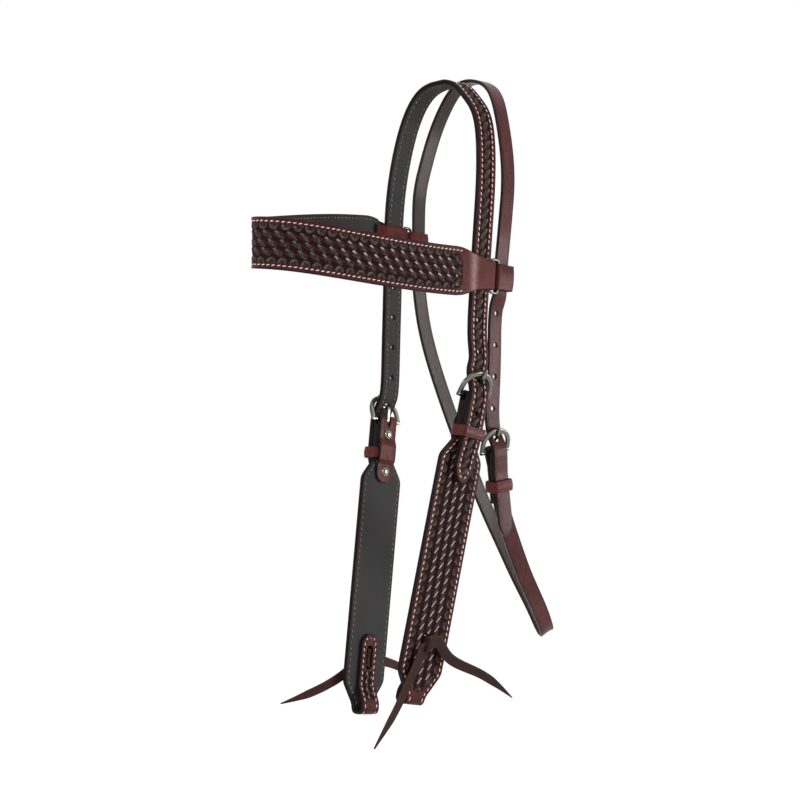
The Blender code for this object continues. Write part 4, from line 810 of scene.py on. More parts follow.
def pass_through(stations, hints, loop, climb):
    """Leads the strap straight through a loop: three stations on its axis replace those near it."""
    middle = loop.translation
    axis = loop.to_3x3() @ UP * climb
    across = (loop.to_3x3() @ Vector((1, 0, 0))) * (1 if loop.translation.x < 0 else -1)
    half = THROAT_LOOP_HEIGHT * 0.7
    far_off = [(p - middle).length > THROAT_LOOP_HEIGHT * 1.2 for p in stations]
    first = far_off.index(False) if False in far_off else None
    if first is None:
        first = min(range(len(stations)), key=lambda k: (stations[k] - middle).length)
    before = [k for k in range(first) if far_off[k]]
    after = [k for k in range(first, len(stations)) if far_off[k]]
    inside = [middle - axis * half, middle, middle + axis * half]
    new_stations = [stations[k] for k in before] + inside
    new_hints = [hints[k] for k in before] + [across] * len(inside)
    return new_stations + [stations[k] for k in after], new_hints + [hints[k] for k in after]


def throat_keeper_outline():
    """The inside of the throat keeper, (forward, outward)."""
    half = THROAT_WIDTH / 2 + CLEARANCE * 2
    inner = -THROAT_CLOSED - THROAT_THICKNESS - CLEARANCE
    outer = THROAT_LOW_BASE + THROAT_THICKNESS + CLEARANCE * 2
    return box_outline((-half, inner), (half, outer), KEEPER_CORNER)


# Sizes, steps and shares of the fine work
GRAIN_STEP = 0.00050
EDGE_CURVE = 0.0008
STITCH_INSET = 0.0031
CROWN_STITCH_INSET = 0.0036
STITCH_PITCH = 0.0046
BROW_STITCH_PITCH = 0.0040
CROWN_STITCH_PITCH = 0.0045
STITCH_RADIUS = 0.00036
GROOVE_WIDTH = 0.0016
GROOVE_DEPTH = 0.00040
TOOL_DEPTH = 0.00090
BORDER_PITCH = 0.0085
BORDER_START = 0.0045
BORDER_REACH = 0.0048
SHELL_FLUTES = 7
SHELL_WIDTH_SHARE = 0.94
SHELL_RIM_AT = 0.74
SHELL_RIM_SPREAD = 0.20
WEAVE_START_SHARE = 0.90
KNOT_SPREAD = 0.0070
CORNER_ROUND = 0.014
FOLD_REACH = 0.018
# Where the painted highlight on the browband's tab sits beyond the tooling's end, and how far it
# spreads
BEND_HIGHLIGHT_AT = 0.0125
BEND_HIGHLIGHT_REACH = 0.0034
STITCH_SINK = 0.00032
SINK_FADE = 0.0040
STITCH_SLANT = 0.26
STITCH_COVER = 0.66
STITCH_SIDES = 8
STITCH_SHARES = np.array([-1, -0.86, -0.5, 0, 0.5, 0.86, 1.0])
STITCH_THICK_SHARES = np.array([0.35, 0.80, 1.0, 1.08, 1.0, 0.80, 0.35])
STITCH_LIFT_SHARES = np.array([-1.5, -0.45, 0.25, 0.45, 0.25, -0.45, -1.5])
THROAT_STITCH_INSET = 0.0026
THROAT_STITCH_PITCH = 0.0038
THROAT_STITCH_START = 0.0020
ROW_PARTS = 8
STITCH_LINE_STEP = 0.0012
SEWN_END = 0.0020
CROWN_TOOLING_START = 0.0040
BROWBAND_TOOLING_START = 0.0135
BROWBAND_STITCH_LEAD = 0.0010
LINING_STEP = 0.0012
CROWN_LINING_STEP = 0.0011
THROAT_STEP = 0.0009
TONGUE_STEP = 0.0004
CURVE_LIMIT_SHARE = 0.48
END_INSET_SHARE = 0.85
LEAST_CURVE_SHARE = 0.15
LEAST_HALF_SHARE = 1.05
EDGE_TURNS = (0, 30, 60)
HOLE_SIDES = 28
SLOT_STEPS = 12
SHAFT_CUT = 0.0300
CUT_FADE = 0.0004
PLAIN_FADE = 0.0008
EDGE_LINE_INSET = 0.0013
EDGE_LINE_WIDTH = 0.0006
EDGE_LINE_DEPTH = 0.00012
MARGIN_DEPTH = 0.00012
BACK_GROOVE_SHARE = 0.7
BACK_STITCH_SHARE = 0.5
CREASE_INSET = 0.0016
CREASE_WIDTH = 0.0007
CREASE_DEPTH = 0.00018
# How the painted highlight on the crests fades with distance from the tooling's ends, and the share
# that it keeps
HIGHLIGHT_FADE_REACH = 0.0300
HIGHLIGHT_FADE_LEAST = 0.4
LOOP_CORNER_SHARE = 0.35
LOOP_CURVE_SHARE = 0.4
LOOP_EDGE_SHARE = 0.8
LOOP_CROWN = 0.0006
LOOP_CORNER_STEPS = 7
LOOP_COLUMNS = 18
LOOP_CREASE_INSET = 0.0017
LOOP_CREASE_SPREAD = 0.00035
LOOP_CREASE_DEPTH = 0.00022
LACE_CURVE = 0.00045
LACE_TIP_SHARE = 0.12
LACE_REAR_SHARE = 1.38
LACE_FRONT_SHARE = 1.30
BUCKLE_BEVEL = 0.00035
BUCKLE_BEVEL_REACH = 1.6
BUCKLE_CURVE = 0.0009
BAR_ROUND = 0.0004
BAR_SIDES = 32
TONGUE_CURVE = 0.0006
TONGUE_TIP_SHARE = 0.55
RIVET_SIDES = 40
DOME_STEPS = 14
WIRE_SIDES = 16
WIRE_CORNER_STEPS = 10
LEAST_RADIUS = 1e-6
LEAST_BACK_COLUMNS = 4
CROWN_COLUMNS = 34
BROWBAND_COLUMNS = 64
CHEEK_COLUMNS = 76
LINING_COLUMNS = 18
CHEEK_LINING_COLUMNS = 20
CHAPE_COLUMNS = 20
THROAT_COLUMNS = 16
LACE_COLUMNS = 8
BAND_COLUMNS = 12
TONGUE_COLUMNS = 6
SOFTENING = 0.0014
BROWBAND_SOFTENING = 0.0030
CHEEK_SOFTENING = 0.0025
CHAPE_SOFTENING = 0.0010
LACE_SOFTENING = 0.0020
SOFTENING_SHARES = (-1, -0.5, 0, 0.5, 1)
CRISP_ANGLE = math.radians(40)
WIRE_CRISP_ANGLE = math.radians(80)
FRONT, SIDE, REAR = range(3)


# Building meshes


def unit(vectors):
    """Vectors of length 1."""
    return vectors / np.linalg.norm(vectors, axis=-1, keepdims=True)


def frames(route, places):
    """Points, and unit directions along, across and outward, at many arc lengths of a route."""
    places = np.asarray(places, float)

    def read(table):
        return np.stack([np.interp(places, route.places, table[:, k]) for k in range(3)], -1)

    along = unit(read(route.along))
    across = read(route.across)
    across = unit(across - along * (along * across).sum(1)[:, None])
    return read(route.points), along, across, np.cross(along, across)


def make_object(name, verts, faces, surface, attributes=None, matrix=None):
    """A mesh object from arrays, smooth shaded, its points moved by a matrix."""
    if matrix is not None:
        turn = np.array(matrix.to_3x3())
        verts = verts @ turn.T + np.array(matrix.translation)
    mesh = bpy.data.meshes.new(name)
    mesh.from_pydata(verts.tolist(), [], faces)
    for label, values in (attributes or {}).items():
        layer = mesh.attributes.new(label, "FLOAT", "POINT")
        layer.data.foreach_set("value", np.ascontiguousarray(values, np.float32).ravel())
    mesh.materials.append(surface)
    mesh.shade_smooth()
    return linked(name, mesh)


def linked(name, data):
    """A new object of the scene."""
    obj = bpy.data.objects.new(name, data)
    bpy.context.scene.collection.objects.link(obj)
    return obj


def face_outward(obj):
    """Turns every face of a closed mesh outward."""
    bm = bmesh.new()
    bm.from_mesh(obj.data)
    bmesh.ops.recalc_face_normals(bm, faces=bm.faces)
    bm.to_mesh(obj.data)
    bm.free()


def stand_for(obj, node):
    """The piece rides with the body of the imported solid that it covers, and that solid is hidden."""
    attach(obj, BODY_OF[node])
    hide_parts(node)


def loop_faces(rings, points, closed=False):
    """Quads between rings of points, outward for a section that turns from across to inward."""
    faces = []
    for i in range(rings if closed else rings - 1):
        here = i * points
        there = (i + 1) % rings * points
        for j in range(points):
            k = (j + 1) % points
            faces.append((here + j, there + j, there + k, here + k))
    return faces


def closed_faces(rings, points):
    """The quads between rings of points, and a cap on the first and on the last ring."""
    faces = loop_faces(rings, points)
    faces.append(tuple(range(points)))
    faces.append(tuple(range(rings * points - 1, (rings - 1) * points - 1, -1)))
    return faces


def section(half, low, high, curve, columns, inset):
    """Across and outward values of a rounded section for every ring, and the kind of each point."""
    curve = np.maximum(curve - inset, curve * LEAST_CURVE_SHARE)
    half = np.maximum(half - inset, curve * LEAST_HALF_SHARE)
    top = high - inset
    bottom = low + inset
    shares = np.linspace(-1, 1, columns + 1)
    back_shares = np.linspace(1, -1, max(LEAST_BACK_COLUMNS, columns // 3) + 1)
    angles = np.radians(EDGE_TURNS[::-1])
    flat = (half - curve)[:, None]
    rise = curve[:, None]
    top_v = flat * shares
    top_h = np.repeat(top[:, None], columns + 1, 1)
    side_v = flat + rise * np.cos(angles)
    upper_h = (top - curve)[:, None] + rise * np.sin(angles)
    lower_h = (bottom + curve)[:, None] - rise * np.sin(angles)[::-1]
    back_v = flat * back_shares
    back_h = np.repeat(bottom[:, None], len(back_shares), 1)
    v = [top_v, side_v, side_v[:, ::-1], back_v, -side_v, -side_v[:, ::-1]]
    h = [top_h, upper_h, lower_h, back_h, lower_h[:, ::-1], upper_h[:, ::-1]]
    turn = [SIDE] * 2 * len(angles)
    kinds = [FRONT] * (columns + 1) + turn + [REAR] * len(back_shares) + turn
    return np.hstack(v), np.hstack(h), np.array(kinds)


def kind_shares(kinds, rings):
    """The side and back attributes for every point of every ring."""
    return {
        label: np.repeat((kinds == kind)[None], rings, 0) * 1.0
        for label, kind in (("side", SIDE), ("back", REAR))
    }


def strap(
    name, route, start, end, half_width, low, high, surface,
    relief=None, back_relief=None, *, columns, step=GRAIN_STEP, matrix=None, curve=EDGE_CURVE,
):
    """A strip with rounded edges and ends along a route, its faces shaped by the relief functions.

    A relief takes place, across and the distance from the edge, and gives depth and named shares.
    """
    curve = min(curve, (high - low) * CURVE_LIMIT_SHARE)
    turns = np.radians(EDGE_TURNS)
    count = max(2, math.ceil((end - start - 2 * curve) / step))
    inner = np.linspace(start + curve, end - curve, count + 1)
    lead = start + curve * (1 - np.cos(turns))
    places = np.concatenate([lead, inner, (end - curve * (1 - np.cos(turns)))[::-1]])
    lead_inset = curve * (1 - np.sin(turns)) * END_INSET_SHARE
    inset = np.concatenate([lead_inset, np.zeros(count + 1), lead_inset[::-1]])
    half = np.array([half_width(place) for place in places])
    slope = np.gradient(half, places)
    rings = len(places)
    v, h, kinds = section(half, low, high, np.full(rings, curve), columns, inset)
    s = np.repeat(places[:, None], v.shape[1], 1)
    room = (half[:, None] - np.abs(v)) / np.sqrt(1 + slope**2)[:, None]
    edge = np.clip(1 - room / (2 * curve), 0, 1)
    ends = np.minimum(s - start, end - s)
    edge = np.maximum(edge, np.clip(1 - ends / (2 * curve), 0, 1))
    values = {"edge": edge, **kind_shares(kinds, rings)}
    fade = np.clip(ends / (2 * curve), 0, 1)
    for shape, kind, sign in ((relief, FRONT, -1), (back_relief, REAR, 1)):
        if shape is None:
            continue
        face = kinds == kind
        depth, shares = shape(s[:, face], v[:, face], room[:, face])
        h[:, face] += sign * depth * fade[:, face]
        for label, share in shares.items():
            values.setdefault(label, np.zeros_like(v))[:, face] = share
    point, _, across, outward = frames(route, places)
    spots = point[:, None] + across[:, None] * v[..., None] + outward[:, None] * h[..., None]
    faces = closed_faces(rings, v.shape[1])
    return make_object(name, spots.reshape(-1, 3), faces, surface, values, matrix)


def punch(obj, places):
    """Cuts round holes: each place is a point, a direction, a radius and a depth."""
    bm = bmesh.new()
    for point, direction, radius, depth in places:
        turn = UP.rotation_difference(direction).to_matrix().to_4x4()
        bmesh.ops.create_cone(
            bm, cap_ends=True, segments=HOLE_SIDES, radius1=radius, radius2=radius, depth=depth,
            matrix=Matrix.Translation(point) @ turn,
        )
    cut_by(obj, bm)


def cut_by(obj, bm, matrix=None):
    """Cuts an object's mesh by a bmesh moved by a matrix, and keeps the result as the mesh."""
    mesh = bpy.data.meshes.new(obj.name + "_cut")
    bm.to_mesh(mesh)
    bm.free()
    if matrix is not None:
        mesh.transform(matrix)
    cutter = linked(obj.name + "_cut", mesh)
    cut = obj.modifiers.new("cut", "BOOLEAN")
    cut.operation = "DIFFERENCE"
    cut.object = cutter
    cut.solver = "EXACT"
    bpy.context.view_layer.update()
    done = bpy.data.meshes.new_from_object(obj.evaluated_get(bpy.context.evaluated_depsgraph_get()))
    obj.modifiers.remove(cut)
    old = obj.data
    obj.data = done
    done.name = old.name + "_done"
    bpy.data.meshes.remove(old)
    bpy.data.objects.remove(cutter, do_unlink=True)


def slot_cut(obj, low, high, width, inner, outer, matrix):
    """Cuts a slot with round ends along local Z through along local Y."""
    bm = bmesh.new()
    half = width / 2
    rim = []
    for hub, first in ((high - half, 0), (low + half, 1)):
        for k in range(SLOT_STEPS + 1):
            angle = math.pi * (first + k / SLOT_STEPS)
            rim.append(bm.verts.new((half * math.cos(angle), inner, hub + half * math.sin(angle))))
    face = bm.faces.new(rim)
    raised = bmesh.ops.extrude_face_region(bm, geom=[face])["geom"]
    moved = [item for item in raised if isinstance(item, bmesh.types.BMVert)]
    bmesh.ops.translate(bm, verts=moved, vec=(0, outer - inner, 0))
    bmesh.ops.recalc_face_normals(bm, faces=bm.faces)
    cut_by(obj, bm, matrix)


def stitch_row(name, route, path, height, pitch, surface, body, matrix=None):
    """Thread stitches along a path of (place, across) points on a strap's face.

    Each stitch rises from its hole, lies in the groove and dips again. The height is a number or a
    function of place.
    """
    path = np.array(path, float)
    gaps = np.linalg.norm(np.diff(path, axis=0), axis=1)
    reach = np.concatenate([[0], np.cumsum(gaps)])
    count = int(reach[-1] // pitch)
    starts = (np.arange(count) + 0.5) * reach[-1] / count
    length = pitch * STITCH_COVER
    thick = STITCH_THICK_SHARES * STITCH_RADIUS
    lift = STITCH_LIFT_SHARES * STITCH_RADIUS
    rings = len(STITCH_SHARES)
    around = np.arange(STITCH_SIDES) * math.tau / STITCH_SIDES
    verts = []
    faces = []
    for start in starts:
        spots = start + STITCH_SHARES * length / 2
        s = np.interp(spots, reach, path[:, 0])
        v = np.interp(spots, reach, path[:, 1]) + STITCH_SHARES * length * STITCH_SLANT / 2
        point, _, across, outward = frames(route, s)
        rise = height(s) if callable(height) else height
        centre = point + across * v[:, None] + outward * (rise + lift)[:, None]
        way = unit(np.gradient(centre, axis=0))
        wide = unit(np.cross(way, outward))
        up = np.cross(wide, way)
        ring = (
            centre[:, None]
            + wide[:, None] * (np.cos(around)[None] * thick[:, None])[..., None]
            + up[:, None] * (np.sin(around)[None] * thick[:, None])[..., None]
        )
        base = len(verts) * rings * STITCH_SIDES
        verts.append(ring.reshape(-1, 3))
        faces += [tuple(base + k for k in face) for face in closed_faces(rings, STITCH_SIDES)]
    obj = make_object(name, np.concatenate(verts), faces, surface, None, matrix)
    face_outward(obj)
    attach(obj, body)


def leather_loop(name, outline, height, wall, surface, matrix, middle):
    """A closed leather loop: its inside follows the outline, its outside is crowned and creased."""
    coarse = np.array(outline)
    corner = wall * LOOP_CORNER_SHARE
    fine = np.array(box_outline(coarse.min(0), coarse.max(0), corner, LOOP_CORNER_STEPS))
    dense = []
    for a, b in zip(fine, np.roll(fine, -1, axis=0)):
        parts = max(1, math.ceil(np.linalg.norm(b - a) / (GRAIN_STEP * 1.5)))
        dense += [a + (b - a) * k / parts for k in range(parts)]
    dense = np.array(dense)
    way = unit(np.roll(dense, -1, axis=0) - np.roll(dense, 1, axis=0))
    normal = np.stack([way[:, 1], -way[:, 0]], -1)
    half, low, high, curve = np.array([[height / 2], [0.0], [wall], [wall * LOOP_CURVE_SHARE]])
    v, h, kinds = section(half, low, high, curve, LOOP_COLUMNS, 0.0)
    v = v[0]
    h = h[0]
    front = kinds == FRONT
    inset = height / 2 - np.abs(v)
    h = h + front * LOOP_CROWN * (1 - (v / half) ** 2)
    crease = np.exp(-(((inset - LOOP_CREASE_INSET) / LOOP_CREASE_SPREAD) ** 2))
    h = h - front * LOOP_CREASE_DEPTH * crease
    count = len(dense)
    spots = np.zeros((count, len(v), 3))
    spots[..., 0] = dense[:, 0, None] + normal[:, 0, None] * h
    spots[..., 1] = dense[:, 1, None] + normal[:, 1, None] * h
    spots[..., 2] = middle + v
    edge = np.repeat(np.clip(1 - inset / (wall * LOOP_EDGE_SHARE), 0, 1)[None], count, 0)
    values = {"edge": edge, **kind_shares(kinds, count)}
    faces = loop_faces(count, len(v), closed=True)
    obj = make_object(name, spots.reshape(-1, 3), faces, surface, values, matrix)
    face_outward(obj)
    return obj


# Tooling


def valley(distance, at, width, depth):
    """A smooth line pressed at a distance from the edge."""
    return depth * np.exp(-(((distance - at) / (width / 2)) ** 2))


def lens(x, y, slant, length, width):
    """The dome of a slanted lens at (x, y), and the places along and across it from -1 to 1."""
    a = (x * math.cos(slant) - y * math.sin(slant)) / length
    b = (x * math.sin(slant) + y * math.cos(slant)) / width
    reach = np.clip(1 - np.abs(a) ** 2.4, 1e-6, 1) ** 0.5
    dome = np.sqrt(np.clip(1 - (b / reach) ** 2, 0, 1))
    dome = np.where(np.abs(a) < 1, dome * np.clip((1 - np.abs(a)) * 6, 0, 1) ** 0.5, 0)
    return dome, a, b


def woven(s, v, style):
    """Heights and colour shares of slanted bars in staggered rows, with a fine dash between bars; the
    lit shares are painted highlights.
    """
    pitch = style["pitch"]
    gap = style["gap"]
    shares = {label: np.zeros_like(s) for label in ("height", "bar", "crest_highlight", "ridge")}
    row = np.round(v / gap)
    for dr in (-1, 0, 1):
        r = row + dr
        here = np.abs(r) <= style["rows"]
        y = v - r * gap
        offset = pitch / 2 * (r % 2)
        k = np.round((s - offset) / pitch)
        for dk in (-1.5, -1, -0.5, 0, 0.5, 1, 1.5):
            x = s - offset - (k + dk) * pitch
            if dk == round(dk):
                dome, a, b = lens(x, y, style["slant"], *style["bar"])
                fluted = 0.90 + 0.10 * np.cos(b * math.tau * 1.5)
                rise = dome * (0.70 + 0.30 * a) * fluted * here
                # The lit share is a painted highlight on the high end of each bar, moved to one side by
                # the style's lean and streaked across
                wedge = np.clip((a + 0.30) / 1.05, 0, 1)
                lit = np.clip((wedge - np.abs(b + style["lean"]) * 1.25) * 1.9, 0, 1) * dome**0.5
                lit = lit * (0.66 + 0.34 * np.cos(b * math.tau * 2)) * style["lit_bar"] * here
                shares["bar"] = np.maximum(shares["bar"], np.clip(dome * 2.5, 0, 1) * here)
            else:
                dome, a, b = lens(x, y, style["dash_slant"], *style["dash"])
                rise = dome * style["dash_height"] * here
                # A painted highlight along the dashes
                lit = dome * here * style["lit_dash"]
                shares["ridge"] = np.maximum(shares["ridge"], dome * here)
            shares["height"] = np.maximum(shares["height"], rise)
            shares["crest_highlight"] = np.maximum(shares["crest_highlight"], lit)
    shares["bar"] = shares["bar"] * style["bar_tone"]
    return shares


def border_shells(s, inset):
    """Height and rim of a row of fluted shells whose flat sides face the stitching; the rim is a
    painted highlight, brighter on one side.
    """
    x = (s / BORDER_PITCH - np.floor(s / BORDER_PITCH) - 0.5) * 2
    y = (inset - BORDER_START) / BORDER_REACH
    radius = np.hypot(x / SHELL_WIDTH_SHARE, y)
    angle = np.arctan2(y, x)
    flutes = 0.62 + 0.38 * np.cos(angle * SHELL_FLUTES * 2)
    dome = np.sqrt(np.clip(1 - radius**2, 0, 1)) * flutes
    inside = (radius < 1) & (y > -0.08)
    # The rim's painted highlight is brightest on one side of each shell
    lit_side = 0.30 + 0.70 * np.clip(0.6 + x, 0, 1)
    rim = np.exp(-(((radius - SHELL_RIM_AT) / SHELL_RIM_SPREAD) ** 2))
    rim = rim * np.clip(y * 4, 0, 1) * inside * lit_side
    return np.where(inside, np.maximum(dome * 0.72, rim * 0.9), 0), rim


def rounded_corner(one, other, radius):
    """The distance inward from two edges whose corner is rounded."""
    round_off = radius - np.hypot(radius - np.minimum(one, radius), radius - np.minimum(other, radius))
    return np.where((one < radius) & (other < radius), round_off, np.minimum(one, other))


def tooling(s, v, inset, style, stitch, zone, sewn):
    """Depth and shares of a tooled face: crease, stitch groove, shells and woven bars."""
    ends = np.minimum(s - zone[0], zone[1] - s)
    shares = woven(s, v, style)
    if style["border"]:
        inner = rounded_corner(inset, ends + BORDER_START, CORNER_ROUND)
        start = BORDER_START + BORDER_REACH * WEAVE_START_SHARE
    else:
        inner = np.minimum(inset, ends + stitch)
        start = stitch + GROOVE_WIDTH * 0.7
    weave = np.clip((inner - start) / CUT_FADE, 0, 1)
    shares = {label: share * weave for label, share in shares.items()}
    cut = weave
    if style["border"]:
        at_end = inner < inset - CLEARANCE / 10
        shell, rim = border_shells(np.where(at_end, v + BORDER_PITCH / 2, s), inner)
        shares["height"] = np.where(weave < 0.5, shell, shares["height"])
        shares["rim"] = np.where(weave < 0.5, rim * style["shell"], 0)
        tone = np.clip(shell * 1.4, 0, 1) * style["shell"]
        shares["bar"] = np.where(weave < 0.5, tone, shares["bar"])
        cut = np.clip((inner - BORDER_START + CUT_FADE) / CUT_FADE, 0, 1)
    else:
        shares["rim"] = np.zeros_like(s)
    groove = valley(inset, stitch, GROOVE_WIDTH, 1.0) * ((s > sewn[0]) & (s < sewn[1]))
    height = shares.pop("height")
    depth = TOOL_DEPTH * (1 - height) * cut + groove * GROOVE_DEPTH
    depth = depth + valley(inset, EDGE_LINE_INSET, EDGE_LINE_WIDTH, EDGE_LINE_DEPTH)
    shares = {label: share * cut for label, share in shares.items()}
    # The hollow share is the depth under the stamps; the leather darkens it as painted shade
    shares["hollow"] = np.clip((1 - height) * cut, 0, 1)
    # The painted highlight on the crests fades towards the middle of the tooling, from the style's
    # distance on
    highlight_fade_from = style["highlight_fade_from"]
    shares["crest_highlight"] = shares["crest_highlight"] * np.interp(ends, [highlight_fade_from, highlight_fade_from + HIGHLIGHT_FADE_REACH], [1, HIGHLIGHT_FADE_LEAST])
    shares["groove"] = groove
    plain = np.clip(-ends / PLAIN_FADE, 0, 1)
    shares["plain"] = plain * style["plain"]
    # A painted highlight across the untooled browband tab where it bends round the crown strap
    shares["bend_highlight"] = plain * style["bend_highlight"] * np.exp(-(((ends + BEND_HIGHLIGHT_AT) / BEND_HIGHLIGHT_REACH) ** 2))
    return depth, shares


def creased(s, v, inset):
    """A smooth face with one crease line along each edge."""
    line = valley(inset, CREASE_INSET, CREASE_WIDTH, 1.0)
    return CREASE_DEPTH * line, {"groove": line * 0.6}


def sewn_back(stitch):
    """A flesh side with the thread's groove and the pressed margin outside it."""

    def shape(s, v, inset):
        line = valley(inset, stitch, GROOVE_WIDTH, 1.0)
        margin = np.clip((stitch + GROOVE_WIDTH / 2 - inset) / CUT_FADE, 0, 1)
        depth = line * GROOVE_DEPTH * BACK_GROOVE_SHARE + margin * MARGIN_DEPTH
        return depth, {"groove": line, "margin": margin}

    return shape


# Materials


def srgb(red, green, blue):
    """A linear colour from the values that a picture shows, 0 to 255."""
    shares = [value / 255 for value in (red, green, blue)]
    return tuple(x / 12.92 if x <= 0.04045 else ((x + 0.055) / 1.055) ** 2.4 for x in shares) + (1,)


TOOLED_FACE = srgb(66, 29, 29)
TOOLED_CLOUD = srgb(46, 19, 20)
# The colour of the painted shade in the stamped hollows
TOOLED_HOLLOW_SHADE = srgb(26, 8, 9)
BAR_TONE = srgb(66, 64, 59)
BAR_DARK = srgb(32, 23, 22)
# The colour of the painted highlight on the shells' rims
SHELL_RIM_HIGHLIGHT_TONE = srgb(90, 81, 76)
RIDGE_TONE = srgb(84, 36, 36)
# The colour of the painted highlight on the tooling's crests
CREST_HIGHLIGHT_TONE = srgb(212, 196, 191)
GROOVE_TONE = srgb(52, 20, 21)
# The colour of the painted highlight on the browband's tab
BEND_HIGHLIGHT_TONE = srgb(168, 134, 130)
FLESH_TONE = srgb(44, 38, 37)
MARGIN_TONE = srgb(50, 44, 41)
EDGE_TONE = srgb(24, 14, 14)
BURGUNDY = srgb(80, 29, 27)
BURGUNDY_DEEP = srgb(52, 19, 19)
THROAT_TONE = srgb(68, 26, 25)
THROAT_CLOUD = srgb(50, 18, 18)
THROAT_FLESH = srgb(50, 39, 37)
CHARCOAL = srgb(38, 36, 37)
CHARCOAL_DEEP = srgb(29, 26, 26)
LACE_FACE = srgb(56, 30, 26)
LACE_CLOUD = srgb(38, 21, 19)
LACE_EDGE = srgb(58, 34, 27)
THREAD_PALE = srgb(232, 204, 195)
THREAD_SHADE = srgb(204, 160, 150)
LINING_THREAD_TONE = srgb(128, 115, 104)
LINING_THREAD_SHADE = srgb(66, 56, 51)
# The colour of the painted highlight along the metal's rims
METAL_RIM_HIGHLIGHT = srgb(196, 192, 182)
FLOOR_TONE = (0.92, 0.92, 0.92, 1)
PORE_WIDTH = 0.12
PORE_DEPTH = 0.00012
TOOLED_SPECULAR = 0.07
RUBBED_ROUGHNESS = 0.34
HOLLOW_ROUGHNESS = 0.75


class Shader:
    """A material's node tree with short calls for the nodes that the leathers share."""

    def __init__(self, name):
        self.surface = bpy.data.materials.new(name)
        self.surface.use_nodes = True
        self.nodes = self.surface.node_tree.nodes
        self.links = self.surface.node_tree.links
        self.out = self.nodes["Principled BSDF"]
        self.coords = self.nodes.new("ShaderNodeTexCoord").outputs["Object"]

    def link(self, source, socket):
        self.links.new(source, socket)

    def attribute(self, label):
        node = self.nodes.new("ShaderNodeAttribute")
        node.attribute_name = label
        return node.outputs["Fac"]

    def noise(self, scale, detail=4.0, roughness=0.55, stretch=None):
        node = self.nodes.new("ShaderNodeTexNoise")
        node.inputs["Scale"].default_value = scale
        node.inputs["Detail"].default_value = detail
        node.inputs["Roughness"].default_value = roughness
        if stretch is None:
            self.link(self.coords, node.inputs["Vector"])
            return node.outputs["Fac"]
        space = self.nodes.new("ShaderNodeMapping")
        space.inputs["Scale"].default_value = stretch
        self.link(self.coords, space.inputs["Vector"])
        self.link(space.outputs["Vector"], node.inputs["Vector"])
        return node.outputs["Fac"]

    def cells(self, scale):
        node = self.nodes.new("ShaderNodeTexVoronoi")
        node.feature = "DISTANCE_TO_EDGE"
        node.inputs["Scale"].default_value = scale
        self.link(self.coords, node.inputs["Vector"])
        return node.outputs["Distance"]

    def spread(self, source, low, high, to_low=0.0, to_high=1.0):
        """The source's low to high values spread over another range, and held at its ends."""
        node = self.nodes.new("ShaderNodeMapRange")
        node.inputs["From Min"].default_value = low
        node.inputs["From Max"].default_value = high
        node.inputs["To Min"].default_value = to_low
        node.inputs["To Max"].default_value = to_high
        self.link(source, node.inputs["Value"])
        return node.outputs["Result"]

    def share(self, label, low=0.0, high=1.0, top=1.0):
        """An attribute's low to high values spread over 0 to the top."""
        return self.spread(self.attribute(label), low, high, 0.0, top)

    def sum(self, first, second, share):
        node = self.nodes.new("ShaderNodeMath")
        node.operation = "MULTIPLY_ADD"
        self.link(second, node.inputs[0])
        node.inputs[1].default_value = share
        self.link(first, node.inputs[2])
        return node.outputs[0]

    def product(self, first, second):
        node = self.nodes.new("ShaderNodeMath")
        node.operation = "MULTIPLY"
        self.link(first, node.inputs[0])
        self.link(second, node.inputs[1])
        return node.outputs[0]

    def mix(self, share, base, over):
        """The base colour or socket turned to the over colour by a share."""
        node = self.nodes.new("ShaderNodeMix")
        node.data_type = "RGBA"
        self.link(share, node.inputs["Factor"])
        for socket, value in ((node.inputs[6], base), (node.inputs[7], over)):
            if isinstance(value, tuple):
                socket.default_value = value
            else:
                self.link(value, socket)
        return node.outputs[2]

    def bump(self, height, distance, strength):
        node = self.nodes.new("ShaderNodeBump")
        node.inputs["Distance"].default_value = distance
        node.inputs["Strength"].default_value = strength
        self.link(height, node.inputs["Height"])
        self.link(node.outputs["Normal"], self.out.inputs["Normal"])

    def pores(self, cells, grain, share, strength):
        """Pores and wrinkles as bump, from the number of cells and of grains in a metre."""
        holes = self.spread(self.cells(cells), 0.0, PORE_WIDTH)
        self.bump(self.sum(holes, self.noise(grain, 3.0), share), PORE_DEPTH, strength)

    def edged(self, colour, tone, low, high):
        """The colour turned to another tone at the worn corners and on the cut edges."""
        colour = self.mix(self.share("edge", low, high), colour, tone)
        return self.mix(self.attribute("side"), colour, tone)

    def set(self, **values):
        """Gives the surface's inputs their values or sockets."""
        for label, value in values.items():
            socket = self.out.inputs[label.replace("_", " ")]
            if isinstance(value, (int, float, tuple)):
                socket.default_value = value
            else:
                self.link(value, socket)


